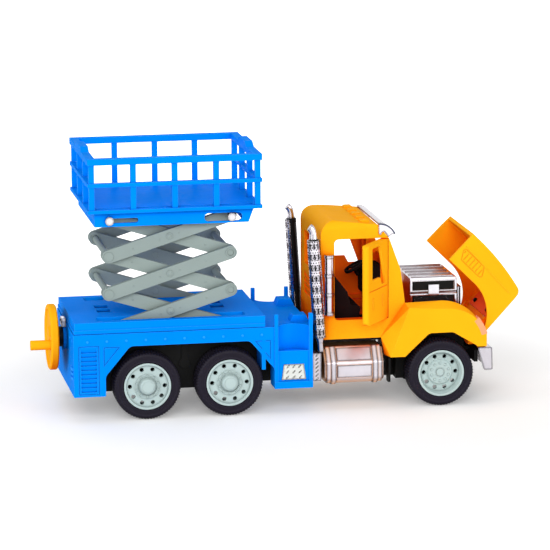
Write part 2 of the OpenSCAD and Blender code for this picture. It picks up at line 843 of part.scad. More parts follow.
module chassis() {
  tub_half = tub_w / 2;
  front_x0 = cab_front + fender_foot - wall_t;
  front_x1 = hinge_x - 3 * wall_t - seat_gap;
  mid_x = (axle_1_x + axle_2_x) / 2;
  guard_x = axle_3_x + tyre_r + 2 * slide_clear;
  guard_z = bumper_z + bumper_h - wall_t - seat_gap;
  color(black) placed()
    difference() {
      union() {
        channel(wall_t + seat_gap, bed_len - wall_t - seat_gap, tub_w, arch_top_z);
        channel(front_x0, cab_front + wall_t, tub_w, cab_z0 - seat_gap);
        channel(cab_front + seat_gap, front_x1, tub_w, bay_z - wall_t - seat_gap);
        channel(bed_len - 2 * wall_t, front_x0 + wall_t, spine_w, spine_z);
        for (x = [bed_len - wall_t - seat_gap - tub_t, front_x0])
          block(x, x + tub_t, -tub_half, tub_half, tub_z, spine_z);
        block(cab_x, cab_front - wall_t, -cab_half + wall_t, cab_half - wall_t, cab_z0 - cab_plate_t, cab_z0);
        for (x = [cab_x, cab_front - 3 * wall_t])
          block(x, x + wall_t, -spine_w / 2, spine_w / 2, tub_z + tub_t / 2, cab_z0);
        block(guard_x, guard_x + wall_t, 2 * wall_t - half_w, half_w - 2 * wall_t, bumper_z + 2 * wall_t,
          guard_z);
        block(front_x1 - wall_t, guard_x + wall_t, -tub_half, tub_half, guard_z - wall_t, guard_z);
        for (x = [axle_1_x, axle_2_x, axle_3_x])
          both_sides()
            rod_y(x, axle_z, axle_boss_r, tub_half - tub_t, tub_half + boss_t);
        both_sides() {
          rod_y(mid_x, (tub_z + arch_top_z) / 2, axle_boss_r - tub_t, tub_half - tub_t, tub_half + boss_t);
          block(mid_x - tub_t, mid_x + tub_t, tub_half - tub_t, tub_half + boss_t,
            (tub_z + arch_top_z) / 2, arch_top_z - wall_t);
        }
      }
      for (x = [axle_1_x, axle_2_x, axle_3_x])
        rod_y(x, axle_z, axle_r + run_clear, -half_w, half_w);
    }
}

module axle(x) {
  reach = tyre_face_y - tyre_w / 2;
  rod_y(x, axle_z, axle_r, -reach, reach);
}

// Section of a rim
module rim_profile(dish, raised) {
  web = tyre_w - dish;
  polygon([
    [axle_r, tyre_w / 2 - wall_t], [axle_r, web - wall_t], [0, web - wall_t], [0, web + raised],
    [rim_plate_r - raised, web + raised], [rim_plate_r, web], [rim_r - rim_lip - dish / 4, web],
    [rim_r - rim_lip, tyre_w], [rim_r, tyre_w], [rim_r, 0], [rim_r - rim_lip, 0],
    [rim_r - rim_lip - dish / 4, web - wall_t], [axle_r + wall_t, web - wall_t],
    [axle_r + wall_t, tyre_w / 2 - wall_t]
  ]);
}

module hub_profile() {
  web = tyre_w - rear_dish;
  tip = web + hub_len;
  polygon([
    [0, web], [hub_r + crank_edge, web], [hub_r, web + hub_len / 3], [hub_r, tip - crank_edge],
    [hub_r - crank_edge, tip], [0, tip]
  ]);
}

module rim(x, dish, raised, ring_r, hub) {
  translate([x, -tyre_in_y, axle_z])
    rotate([90, 0, 0])
      difference() {
        rotate_extrude() {
          rim_profile(dish, raised);
          if (hub)
            hub_profile();
        }
        for (i = [0 : rim_holes - 1])
          rotate([0, 0, 360 * i / rim_holes])
            translate([ring_r, 0, tyre_w / 2])
              cylinder(r = rim_hole_r, h = tyre_w, $fn = 24);
      }
}

module tyre(x) {
  translate([x, -tyre_in_y, axle_z])
    rotate([90, 0, 0])
      rotate_extrude()
        polygon([
          [rim_r, tyre_bulge], [rim_r + tyre_bulge, 0], [tyre_r - tyre_shoulder, 0],
          [tyre_r - tyre_bulge, tyre_shoulder / 2], [tyre_r, tyre_shoulder], [tyre_r, tyre_w - tyre_shoulder],
          [tyre_r - tyre_bulge, tyre_w - tyre_shoulder / 2], [tyre_r - tyre_shoulder, tyre_w],
          [rim_r + tyre_bulge, tyre_w], [rim_r, tyre_w - tyre_bulge]
        ]);
}

module rear_rims(x) {
  both_sides()
    rim(x, rear_dish, rear_dish / 4, rear_ring_r, true);
}

module axle_1() {
  color(steel) placed()
    axle(axle_1_x);
}

module axle_2() {
  color(steel) placed()
    axle(axle_2_x);
}

module axle_3() {
  color(steel) placed()
    axle(axle_3_x);
}

module rims_1() {
  color(rim_grey) placed()
    rear_rims(axle_1_x);
}

module rims_2() {
  color(rim_grey) placed()
    rear_rims(axle_2_x);
}

module rims_3() {
  color(rim_grey) placed()
    both_sides()
      rim(axle_3_x, front_dish, wall_t / 2, front_ring_r, false);
}

module tyres_1() {
  color(tyre_black) placed()
    both_sides()
      tyre(axle_1_x);
}

module tyres_2() {
  color(tyre_black) placed()
    both_sides()
      tyre(axle_2_x);
}

module tyres_3() {
  color(tyre_black) placed()
    both_sides()
      tyre(axle_3_x);
}

module crank_bearing() {
  x1 = -rear_boss[1];
  color(black) placed()
    difference() {
      rod_x(0, crank_z, crank_boss_r, -crank_gap + slide_clear, x1);
      rod_x(0, crank_z, crank_shaft_r + run_clear, -crank_gap, x1 + over);
    }
}

module crank_shaft() {
  color(steel) placed()
    rod_x(0, crank_z, crank_shaft_r, -crank_gap, pivot_x - arm_w);
}

module crank_wheel() {
  x0 = -crank_gap - crank_t;
  hy = -handle_orbit * sin(handle_angle);
  hz = crank_z + handle_orbit * cos(handle_angle);
  floor_t = crank_t - crank_recess;
  color(yellow) placed() {
    translate([-crank_gap, 0, crank_z])
      rotate([0, -90, 0])
        rotate_extrude()
          polygon([
            [0, 0], [crank_r - crank_edge, 0], [crank_r, crank_edge], [crank_r, crank_t - crank_edge],
            [crank_r - crank_edge, crank_t], [crank_r - crank_rim, crank_t],
            [crank_r - crank_rim - crank_edge, floor_t], [crank_boss_r + crank_edge, floor_t],
            [crank_boss_r, crank_t], [0, crank_t]
          ]);
    rod_x(hy, hz, handle_r, x0 - handle_len, x0 + crank_recess);
    rod_x(hy, hz, handle_r + wall_t, x0, x0 + crank_recess + over);
  }
}

module arm_plate(x0, z0, x1, z1, y0, y1) {
  rod_y(x0, z0, arm_w / 2, y0, y1);
  rod_y(x1, z1, arm_w / 2, y0, y1);
  translate([x0, y0, z0])
    rotate([0, -atan2(z1 - z0, x1 - x0), 0])
      translate([0, 0, -arm_w / 2])
        cube([arm_len, y1 - y0, arm_w]);
}

// Outer arms with the rear shaft and the middle pins
module outer_pair(level, shaft_y) {
  z0 = pivot_z + (level - 1) * lift_rise;
  z1 = z0 + lift_rise;
  x1 = pivot_x + lift_run;
  boss_y = outer_face_y + arm_boss[1];
  difference() {
    both_sides() {
      arm_plate(pivot_x, z0, x1, z1, outer_y, outer_face_y);
      rod_y(x1, z1, arm_boss[0], outer_y, boss_y);
    }
    if (level < 3)
      rod_y(x1, z1, pin_r + run_clear, -half_w, half_w);
  }
  rod_y(pivot_x, z0, pin_r, -shaft_y, shaft_y);
  both_sides() {
    rod_y((pivot_x + x1) / 2, (z0 + z1) / 2, pin_r, arm_y, boss_y);
    if (level > 1)
      rod_y(pivot_x, z0, arm_boss[0], outer_y, boss_y);
  }
}

// Inner arms with the lower front shaft
module inner_pair(level, foot_y) {
  z0 = pivot_z + (level - 1) * lift_rise;
  z1 = z0 + lift_rise;
  x1 = pivot_x + lift_run;
  difference() {
    both_sides()
      arm_plate(pivot_x, z1, x1, z0, arm_y, arm_y + arm_t);
    rod_y((pivot_x + x1) / 2, (z0 + z1) / 2, pin_r + run_clear, -half_w, half_w);
    if (level < 3)
      rod_y(pivot_x, z1, pin_r + run_clear, -half_w, half_w);
  }
  rod_y(x1, z0, pin_r, -foot_y, foot_y);
}

module arms_1_outer() {
  color(arm_grey) placed()
    outer_pair(1, deck_in - slide_clear);
}

module arms_1_inner() {
  color(arm_grey) placed()
    inner_pair(1, deck_in - slide_clear);
}

module arms_2_outer() {
  color(arm_grey) placed()
    outer_pair(2, outer_face_y);
}

module arms_2_inner() {
  color(arm_grey) placed()
    inner_pair(2, outer_face_y);
}

module arms_3_outer() {
  color(arm_grey) placed()
    outer_pair(3, outer_face_y);
}

module arms_3_inner() {
  color(arm_grey) placed()
    inner_pair(3, outer_face_y);
}

module platform_pin(x, y0) {
  y1 = skirt_y + slide_clear;
  both_sides() {
    rod_y(x, top_pivot_z, pin_r, y0, y1);
    rod_y(x, top_pivot_z, pin_head_r, y1, y1 + pin_head_t);
  }
}

module platform_pins_front() {
  color(steel) placed()
    platform_pin(pivot_x + lift_run, outer_face_y + arm_boss[1]);
}

module platform_pins_rear() {
  color(steel) placed()
    platform_pin(pivot_x, arm_y + arm_t);
}

module skirt_outline(inset, drop) {
  x0 = platform_x + skirt_inset + inset;
  x1 = platform_x1 - skirt_inset - inset;
  z0 = floor_z - skirt_h - drop;
  shift = skirt_slant * (1 + drop / skirt_h);
  polygon([[x0, floor_z], [x1, floor_z], [x1 - shift[1], z0], [x0 + shift[0], z0]]);
}

module platform_floor() {
  panel = top_rail[0] + slide_clear;
  y = skirt_y + over;
  z = top_pivot_z;
  g0 = pivot_x + lift_run - guide_reach[0];
  g1 = pivot_x + lift_run + guide_reach[1];
  color(blue) placed() {
    along_y(-platform_w / 2, platform_w / 2)
      translate([platform_x, floor_z])
        square([platform_len, floor_t]);
    block(platform_x + panel, platform_x1 - panel, -platform_w / 2 + panel, platform_w / 2 - panel, floor_z,
      floor_z + floor_t + floor_panel);
    difference() {
      along_y(-skirt_y, skirt_y)
        skirt_outline(0, 0);
      along_y(-skirt_y + wall_t, skirt_y - wall_t)
        skirt_outline(wall_t, over);
      rod_y(pivot_x, z, pin_r + run_clear, -y, y);
      slot_y(pivot_x, pivot_x + guide_reach[0] - wall_t, z, pin_r * 3 / 4, -y, y);
      slot_y(g0 + 2 * wall_t, g1 - 2 * wall_t, z, pin_r + slide_clear, -y, y);
    }
  }
}

module rail_ring(w, z0, z1) {
  y = platform_w / 2;
  difference() {
    block(platform_x, platform_x1, -y, y, z0, z1);
    block(platform_x + w, platform_x1 - w, -y + w, y - w, z0 - over, z1 + over);
  }
}

module platform_rails() {
  z0 = floor_z + floor_t;
  z1 = z0 + rail_h;
  post_x = platform_x + post_inset;
  post_y = platform_w / 2 - post_inset - post_w;
  step_x = (platform_len - 2 * post_inset - post_w) / side_bays;
  step_y = 2 * post_y + post_w;
  post_h = rail_h - top_rail[1] / 2;
  color(blue) placed() {
    rail_ring(top_rail[0], z1 - top_rail[1], z1);
    rail_ring(mid_rail[0], z0 + mid_rail_z, z0 + mid_rail_z + mid_rail[1]);
    for (i = [0 : side_bays])
      for (y = [-post_y - post_w, post_y])
        translate([post_x + step_x * i, y, z0])
          cube([post_w, post_w, post_h]);
    for (i = [1 : end_bays - 1])
      for (x = [post_x, platform_x1 - post_inset - post_w])
        translate([x, -post_y - post_w + step_y * i / end_bays, z0])
          cube([post_w, post_w, post_h]);
    for (x = [platform_x, platform_x1 - top_rail[0]])
      along_x(x, x + top_rail[0])
        polygon([
          [-clip_size[0] / 2, z1 - top_rail[1] / 2], [clip_size[0] / 2, z1 - top_rail[1] / 2],
          [clip_size[0] / 2, z1], [clip_size[0] / 2 - clip_size[2], z1 + clip_size[1]],
          [-clip_size[0] / 2 + clip_size[2], z1 + clip_size[1]], [-clip_size[0] / 2, z1]
        ]);
  }
}

module cab_outline() {
  rounded(edge_r)
    polygon([
      [cab_x, cab_z0], [cab_front, cab_z0], [cab_front, crown_z],
      [cab_front - screen_foot[0], screen_foot[1]],
      [cab_front - screen_top[0], screen_top[1]], roof_front, [cab_x + roof_r, roof_z],
      [cab_x + roof_r, roof_z - roof_r], [cab_x, roof_z - roof_r]
    ]);
  translate([cab_x + roof_r, roof_z - roof_r])
    circle(r = roof_r);
  translate([cab_x, cab_z0])
    square([cab_len, roof_r]);
  translate([cab_x, cab_z0])
    square([roof_r, roof_z - roof_r - cab_z0]);
}

module door_outline(gap) {
  x0 = door_x0 + gap;
  h = door_z[1] - door_z[0] - 2 * gap;
  translate([x0, door_z[0] + gap])
    rounded(door_corner_r)
      square([2 * door_len, h]);
}

// Opening for a door, its hinge barrel and its pins
module door_cut() {
  y1 = -cab_half + door_t + slide_clear;
  intersection() {
    along_y(-cab_half - over, y1)
      door_outline(0);
    block(cab_x, door_axis_x, -cab_half - over, y1, cab_z0, roof_z);
  }
  along_y(-cab_half - over, -cab_half + 3 * door_t)
    intersection() {
      offset(delta = -wall_t)
        door_outline(0);
      translate([cab_x, cab_z0])
        square([door_hinge_x - wall_t, roof_z]);
    }
  rod_z(door_axis_x, -door_axis_y, door_t / 2 + slide_clear, door_z[0], door_z[1]);
  rod_z(door_axis_x, -door_axis_y, door_pin_r + run_clear, door_z[0] - door_pin_len - slide_clear,
    door_z[1] + door_pin_len + slide_clear);
}

module screen_cut() {
  slope = atan2(screen_foot[0] - screen_top[0], screen_top[1] - screen_foot[1]);
  screen_len = norm(screen_top - screen_foot);
  w = cab_half * screen_share;
  translate([cab_front - screen_foot[0], 0, screen_foot[1]])
    rotate([0, slope, 0])
      along_x(-2 * wall_t, 2 * wall_t)
        translate([-w, wall_t / 2])
          rounded(edge_r)
            square([2 * w, screen_len - wall_t]);
}

module rear_cuts() {
  w = cab_half * rear_window_share;
  pitch = (louvre_z[1] - louvre_z[0]) / louvre_count;
  along_x(cab_x - over, cab_x + 2 * wall_t)
    translate([-w, rear_window_z[0]])
      rounded(edge_r)
        square([2 * w, rear_window_z[1] - rear_window_z[0]]);
  for (i = [0 : louvre_count - 1])
    translate([0, 0, louvre_z[0] + pitch * i])
      along_y(-w, w)
        polygon([[cab_x - over, 0], [cab_x + vent_d, 0], [cab_x, pitch], [cab_x - over, pitch]]);
}

module roof_markers() {
  x0 = roof_front[0] - marker_back - marker_size[0];
  z0 = roof_front[1];
  step = (cab_w - 3 * cab_edge_r) / (marker_count - 1);
  for (i = [0 : marker_count - 1])
    translate([0, (i - (marker_count - 1) / 2) * step, 0])
      along_y(-marker_size[1] / 2, marker_size[1] / 2)
        rounded(edge_r / 2)
          polygon([
            [x0, z0 - wall_t / 2], [x0 + marker_size[0], z0 - wall_t / 2],
            [x0 + marker_size[0], z0 + marker_size[2] / 2],
            [x0 + marker_size[0] / 2, z0 + marker_size[2]], [x0, z0 + marker_size[2] / 2]
          ]);
}

module cab_shell() {
  header = door_t + wall_t;
  color(yellow) placed() {
    difference() {
      intersection() {
        along_y(-cab_half, cab_half)
          cab_outline();
        along_x(cab_x, cab_front)
          front_outline(cab_w, cab_z0, roof_z, cab_edge_r);
      }
      difference() {
        intersection() {
          along_y(-cab_half + wall_t, cab_half - wall_t)
            offset(delta = -wall_t)
              cab_outline();
          along_x(cab_x, cab_front)
            front_outline(cab_w - 2 * wall_t, cab_z0, roof_z - wall_t, cab_edge_r - wall_t);
        }
        both_sides() {
          block(cab_x, cab_front, -cab_half, -cab_half + header, door_z[1], door_z[1] + 2 * wall_t);
          block(cab_x, cab_front, -cab_half, -cab_half + header, door_z[0] - 2 * wall_t, door_z[0]);
          block(cab_x, door_x0, -cab_half, -cab_half + header, door_z[0], door_z[1]);
          block(door_axis_x, cab_front, -cab_half, -cab_half + header, door_z[0], door_z[1]);
        }
      }
      block(cab_x + wall_t, cab_front - wall_t, -cab_half + header, cab_half - header, cab_z0 - over,
        cab_z0 + 2 * wall_t);
      both_sides()
        door_cut();
      screen_cut();
      rear_cuts();
    }
    roof_markers();
  }
}

module seat_outline() {
  x0 = cab_x + wall_t + seat_gap;
  z0 = cab_z0 + wall_t;
  z1 = door_z[0] + seat_rise;
  rounded(edge_r)
    polygon([
      [x0, z0], [x0 + seat_len - wall_t, z0], [x0 + seat_len, z1 - wall_t], [x0 + seat_len - wall_t / 2, z1],
      [x0 + seat_len * 3 / 4, z1], [x0 + seat_len * 2 / 3, z1 + door_x], [x0 + door_x, seat_back_z],
      [x0, seat_back_z]
    ]);
}

module dash_outline() {
  x1 = cab_front - wall_t - screen_foot[0];
  z0 = door_z[0] + seat_rise;
  rounded(edge_r)
    polygon([
      [x1, cab_z0], [x1, dash_z], [x1 - dash_len / 2, dash_z], [x1 - dash_len, dash_z - wall_t],
      [x1 - dash_len, z0], [x1 - dash_len / 2, z0 - wall_t], [x1 - dash_len / 2, cab_z0]
    ]);
}

module cab_interior() {
  gap = wall_t + seat_gap;
  w = cab_half - door_t - gap;
  color(dark) placed() {
    block(cab_x + gap, cab_front - gap, -w, w, cab_z0 + seat_gap, cab_z0 + wall_t);
    both_sides()
      along_y(wall_t, wall_t + seat_w)
        seat_outline();
    difference() {
      along_y(-w, w)
        dash_outline();
      block(cab_x, cab_front, -w - over, w + over, tub_z, cab_z0 + wall_t / 2);
    }
  }
}

module steering_wheel() {
  x = cab_front - wall_t - screen_foot[0] - dash_len - wheel_t;
  color(dark) placed()
    translate([x, cab_half / 2, dash_z - 3 * wall_t])
      rotate([0, -wheel_tilt, 0]) {
        cylinder(r = wheel_t, h = wheel_r);
        translate([0, 0, wheel_r - wheel_t])
          rotate_extrude()
            translate([wheel_r - wheel_t, 0])
              square([wheel_t, wheel_t]);
        for (i = [0 : spoke_count - 1])
          rotate([0, 0, 360 * i / spoke_count])
            translate([0, -wheel_t / 2, wheel_r - wheel_t * 3 / 4])
              cube([wheel_r - wheel_t / 2, wheel_t, wheel_t / 2]);
      }
}

module visor_sector(r0, r1) {
  reach = 2 * visor_r;
  translate(visor_c)
    intersection() {
      difference() {
        circle(r = r1);
        circle(r = r0);
      }
      polygon([
        [0, 0], reach * [cos(visor_angles[0]), sin(visor_angles[0])], reach * [1, 1],
        reach * [cos(visor_angles[1]), sin(visor_angles[1])]
      ]);
    }
}

module sun_visor() {
  w = cab_half - edge_r;
  color(chrome) placed() {
    along_y(-w, w)
      visor_sector(visor_r - visor_t, visor_r);
    both_sides()
      along_y(w - visor_t, w)
        difference() {
          visor_sector(wall_t, visor_r - visor_t / 2);
          offset(delta = seat_gap)
            cab_outline();
        }
  }
}

module window_outline() {
  x0 = door_x0 + slide_clear + door_frame * 7 / 5;
  x1 = door_axis_x - door_frame * 3 / 4;
  z1 = door_z[1] - door_frame * 3 / 5;
  rounded(edge_r / 2)
    polygon([
      [x0, door_window_z], [x1 - door_notch[0], door_window_z],
      [x1 - door_notch[0] + door_notch[1] / 2, door_window_z - door_notch[1]],
      [x1, door_window_z - door_notch[1]], [x1 - door_frame * 9 / 5, z1], [x0, z1]
    ]);
}

module door_panel() {
  z0 = door_z[0] + slide_clear;
  z1 = door_z[1] - slide_clear;
  free_x = door_axis_x - door_len;
  line_z = door_window_z - door_notch[1] - wall_t;
  difference() {
    union() {
      intersection() {
        along_y(-cab_half, -cab_half + door_t)
          door_outline(slide_clear);
        union() {
          block(free_x, door_axis_x, -cab_half, -cab_half + door_t, z0, z1);
          rod_z(free_x, -door_axis_y, door_t / 2, z0, z1);
        }
      }
      rod_z(door_axis_x, -door_axis_y, door_t / 2, z0, z1);
      rod_z(door_axis_x, -door_axis_y, door_pin_r, door_z[0] - door_pin_len, door_z[1] + door_pin_len);
      for (x = [free_x + door_frame, door_axis_x - 2 * door_frame])
        block(x, x + door_rib[0], -cab_half - door_rib_t, wall_t / 2 - cab_half, door_rib_z - door_rib[1] / 2,
          door_rib_z + door_rib[1] / 2);
    }
    along_y(-cab_half - over, -cab_half + door_t + over)
      window_outline();
    block(free_x, door_axis_x - wall_t, -cab_half - over, -cab_half + groove[1], line_z, line_z + groove[0]);
    along_y(-cab_half + wall_t * 3 / 4, -cab_half + door_t + over)
      rounded(edge_r)
        translate([free_x + wall_t, z0 + wall_t])
          square([door_len - wall_t - door_t / 2, z1 - z0 - 2 * wall_t]);
  }
}

module door_right() {
  color(yellow) placed()
    translate([door_axis_x, -door_axis_y, 0])
      rotate([0, 0, door_open])
        translate([-door_axis_x, door_axis_y, 0])
          door_panel();
}

module door_left() {
  color(yellow) placed()
    mirror([0, 1, 0])
      door_panel();
}

// Everything below the hood's lower edge
module crown_outline(gap) {
  r = crown_r + gap;
  translate([crown_x, crown_cz])
    circle(r = r, $fn = 96);
  translate([cab_x, 0])
    square([crown_x - cab_x, crown_z + gap]);
}

// Side of the closed hood without its lower limit
module hood_side(inset) {
  intersection() {
    offset(r = nose_r - inset)
      offset(delta = -nose_r)
        intersection() {
          polygon([
            [cab_x, 0], [hood_x1 + hood_lean, 0], [hood_x1, hood_foot_z], [nose_x, nose_cz],
            [nose_x, hood_z], [cab_x, hood_z]
          ]);
          union() {
            translate([arc_cx, arc_cz])
              circle(r = hood_arc_r, $fn = 360);
            translate([cab_x, 0])
              square([arc_cx - cab_x, hood_z]);
          }
        }
    translate([cab_front + slide_clear, 0])
      square([hood_len + nose_r, hood_z]);
  }
}

// Limits the hood's sides, which lean inward at the top
module hood_flanks() {
  w = hood_half - 2 * hood_tilt;
  z = 2 * hood_line_z;
  translate([cab_front, 0, hood_z - hood_line_z])
    rotate([0, hood_fall, 0])
      along_x(-hood_len, 2 * hood_len)
        polygon([
          [-hood_half, -hood_z], [hood_half, -hood_z], [hood_half, 0], [w, z], [-w, z], [-hood_half, 0]
        ]);
}

module at_hood_hinge() {
  translate([hinge_x, 0, hood_hinge_z])
    rotate([0, hood_open, 0])
      translate([-hinge_x, 0, -hood_hinge_z])
        children();
}

module hood_vent_outline() {
  z1 = hood_z - hood_vent_z[0];
  z0 = hood_z - hood_vent_z[1];
  rounded(edge_r)
    polygon([
      [cab_front + hood_vent_x[0], z1], [cab_front + hood_vent_x[0] + 2 * wall_t, z0],
      [cab_front + hood_vent_x[1] + 2 * wall_t, z0], [cab_front + hood_vent_x[1], z1]
    ]);
}

// Vents and lines on the right side of the hood
module hood_side_cuts() {
  pitch = (hood_vent_x[1] - hood_vent_x[0]) / hood_vent_count;
  y0 = -hood_half - over;
  y1 = -hood_half + groove[1];
  engraved(hood_half)
    hood_vent_outline();
  along_y(y0, y1)
    intersection() {
      offset(delta = -2 * groove[0])
        hood_vent_outline();
      for (i = [1 : hood_vent_count])
        translate([cab_front + hood_vent_x[0] + pitch * i, 0])
          square([groove[0], hood_z]);
    }
}

module hood() {
  w = hood_half;
  grille_half = w * grille_share;
  color(yellow) placed()
    at_hood_hinge() {
      difference() {
        intersection() {
          along_y(-w, w)
            difference() {
              hood_side(0);
              crown_outline(-hood_drop);
              translate([cab_x, 0])
                square([2 * hood_len + cab_len, hood_foot_z]);
            }
          along_x(cab_front, hood_x1)
            front_outline(hood_w, hood_foot_z - over, hood_z, hood_edge_r);
          hood_flanks();
        }
        intersection() {
          along_y(-w + wall_t, w - wall_t)
            union() {
              hood_side(wall_t);
              translate([cab_x, 0])
                square([cab_len + hood_arc_x, hood_z - wall_t]);
            }
          along_x(cab_x, hood_x1)
            front_outline(hood_w - 2 * wall_t, 0, hood_z - wall_t, hood_edge_r - wall_t / 2);
        }
        along_x(nose_x - 2 * wall_t, hood_x1 + over)
          translate([-grille_half, grille_z[0]])
            square([2 * grille_half, grille_z[1] - grille_z[0]]);
        both_sides()
          hood_side_cuts();
      }
      both_sides() {
        along_y(hood_lug_y - wall_t, hood_lug_y)
          polygon([
            [hinge_x - wall_t, hood_hinge_z], [hinge_x + wall_t, hood_hinge_z],
            [hood_x1 - wall_t / 2, hood_foot_z], [hood_x1 - wall_t / 2, grille_z[0] - seat_gap],
            [hood_x1 - 2 * wall_t, grille_z[0] - seat_gap]
          ]);
        rod_y(hinge_x, hood_hinge_z, wall_t, hood_lug_y - wall_t, hood_lug_y);
        rod_y(hinge_x, hood_hinge_z, hood_pin_r, hood_lug_y - wall_t / 2, hood_lug_y + wall_t);
      }
    }
}

module grille() {
  w = hood_half * grille_share - seat_gap;
  x1 = nose_x;
  x0 = x1 - grille_t;
  z0 = grille_z[0] + seat_gap;
  z1 = grille_z[1] - seat_gap;
  f = grille_frame;
  bar = 2 * w / (2 * grille_bars - 1);
  color(chrome) placed()
    at_hood_hinge() {
      difference() {
        block(x0, x1, -w, w, z0, z1);
        block(x0 - over, x1 + over, -w + f, w - f, z0 + f, z1 - f);
      }
      block(x0, x0 + grille_t / 2, -w + f / 2, w - f / 2, z0 + f / 2, z1 - f / 2);
      for (i = [1 : grille_bars - 2])
        block(x0, x1 - grille_t / 4, -w + 2 * i * bar, -w + (2 * i + 1) * bar, z0 + f / 2, z1 - f / 2);
    }
}

// Thin slice of an outline at the distance y from the mid plane
module slice(y) {
  along_y(y - seat_gap / 2, y)
    children();
}

module front_crown(r, dx, dz) {
  intersection() {
    translate([crown_x + dx, crown_cz - dz])
      circle(r = r, $fn = 96);
    translate([crown_x, fender_nose_z])
      square([front_x - crown_x - dx / 4, crown_z]);
  }
}

module fender_solid() {
  x0 = cab_front + fender_rear;
  top = crown_z - hood_gap;
  hull() {
    slice(cab_half + seat_gap)
      polygon([
        [crown_x, arch_top_z], [crown_x, top], [cab_front, top - hood_gap / 2], [x0, fender_rear_z],
        [x0 + wall_t, fender_z0], [cab_front + fender_foot, fender_z0]
      ]);
    slice(half_w)
      polygon([
        [crown_x, arch_top_z], [crown_x, top - crease[0]], [cab_front + crease[1] / 2, top - crease[1]],
        [x0 + fender_flank + crease[1], fender_rear_z + crease[1]], [x0 + fender_flank / 2, fender_z0],
        [cab_front + fender_foot, fender_z0]
      ]);
  }
  hull() {
    slice(cab_half + seat_gap)
      front_crown(crown_r - hood_gap, 0, 0);
    slice(half_w)
      front_crown(crown_r - hood_gap, crease[1], crease[0]);
  }
}

module front_arch() {
  arch_outline(cab_front + fender_foot, front_x - fender_nose, 0, axle_3_x - front_arch_flat / 2 - cab_front
    - fender_foot, front_x - fender_nose - axle_3_x - front_arch_flat / 2, fender_z0, fender_nose_z);
}

module lamp_sector(r0, r1) {
  reach = 2 * crown_r;
  translate([crown_x, crown_cz])
    intersection() {
      difference() {
        circle(r = r1, $fn = 96);
        circle(r = r0, $fn = 96);
      }
      polygon([
        [0, 0], reach * [cos(lamp_angles[0]), sin(lamp_angles[0])],
        reach * [cos(lamp_angles[1]), sin(lamp_angles[1])]
      ]);
    }
}

module front_body() {
  w = cab_half + wall_t / 2;
  lug_x0 = hinge_x - 2 * wall_t;
  lug_x1 = hinge_x + wall_t;
  color(yellow) placed() {
    both_sides() {
      difference() {
        fender_solid();
        along_y(0, half_w + over)
          front_arch();
        along_y(cab_half + wall_t, half_w - wall_t)
          translate([axle_3_x - front_arch_flat / 2, arch_top_z - over])
            square([front_arch_flat, crown_z - crease[0] - 2 * wall_t - arch_top_z]);
        along_y(half_w - lamp_w, half_w + over)
          lamp_sector(crown_r - hood_gap - lamp_size[0], crown_r + lamp_size[0]);
      }
      difference() {
        block(lug_x0, lug_x1, hood_lug_y + slide_clear, w, fender_nose_z, hood_hinge_z + wall_t);
        rod_y(hinge_x, hood_hinge_z, hood_pin_r + run_clear, 0, hood_lug_y + wall_t + slide_clear);
      }
    }
    block(cab_front + seat_gap, front_x - 3 * fender_nose, -w, w, bay_z - wall_t, bay_z);
    block(lug_x0 - wall_t, front_x - wall_t / 2, -w, w, fender_nose_z, fender_nose_z + wall_t);
    block(lug_x0, lug_x1, -hood_lug_y + 2 * wall_t, hood_lug_y - 2 * wall_t, fender_nose_z, hood_hinge_z);
  }
}

module head_lamps() {
  r = crown_r - hood_gap;
  color(lens) placed()
    both_sides()
      along_y(half_w - lamp_w, half_w)
        lamp_sector(r - lamp_size[0], r + lamp_size[1]);
}

module engine() {
  x0 = cab_front + engine_x;
  x1 = x0 + engine_size[0];
  w = engine_size[1] / 2;
  foot = w * engine_foot_share;
  band = engine_size[2] / 2;
  mid_z = engine_z0 + band;
  rib_step = (engine_size[1] - 6 * engine_edge) / (engine_ribs - 1);
  color(chrome) placed() {
    block(x0, x1, -foot, foot, bay_z, engine_z0 + engine_edge);
    for (z = [engine_z0, mid_z])
      difference() {
        along_x(x0, x1)
          polygon([
            [-w + engine_edge, z], [w - engine_edge, z], [w, z + engine_edge / 2],
            [w, z + band - engine_edge], [w - engine_edge, z + band], [-w + engine_edge, z + band],
            [-w, z + band - engine_edge], [-w, z + engine_edge / 2]
          ]);
        both_sides()
          block(x0 + engine_edge, x1 - engine_edge, w - 2 * fin_t, w + over, z + engine_edge,
            z + band - engine_edge * 3 / 2);
      }
    block((x0 + x1 - engine_catch[0]) / 2, (x0 + x1 + engine_catch[0]) / 2, -w - fin_t, w + fin_t,
      mid_z - engine_edge, mid_z + engine_catch[1]);
    for (i = [0 : engine_ribs - 1])
      translate([x0 + engine_edge, -w + 3 * engine_edge + rib_step * i - fin_t / 2, engine_z - fin_t])
        cube([engine_size[0] - 2 * engine_edge, fin_t, 2 * fin_t]);
    for (i = [1 : fin_count])
      block(x1 + (2 * i - 1) * fin_t, x1 + 2 * i * fin_t, -foot, foot, bay_z, mid_z + engine_edge);
    block(x1 - fin_t, x1 + 2 * fin_count * fin_t, -foot / 2, foot / 2, bay_z, engine_z0);
  }
}

module bumper() {
  x1 = cab_front + bumper_x;
  z1 = bumper_z + bumper_h;
  color(chrome) placed()
    difference() {
      along_y(-half_w, half_w)
        rounded(edge_r / 2)
          polygon([
            [x1 - bumper_len[0], z1], [x1 - bumper_len[1], bumper_z], [x1, bumper_z],
            [x1 - edge_r / 4, z1]
          ]);
      along_y(-half_w + wall_t, half_w - wall_t)
        polygon([
          [x1 - 2 * bumper_len[0], z1 - wall_t], [x1 - wall_t, z1 - wall_t], [x1 - wall_t, bumper_z - over],
          [x1 - 2 * bumper_len[0], bumper_z - over]
        ]);
    }
}

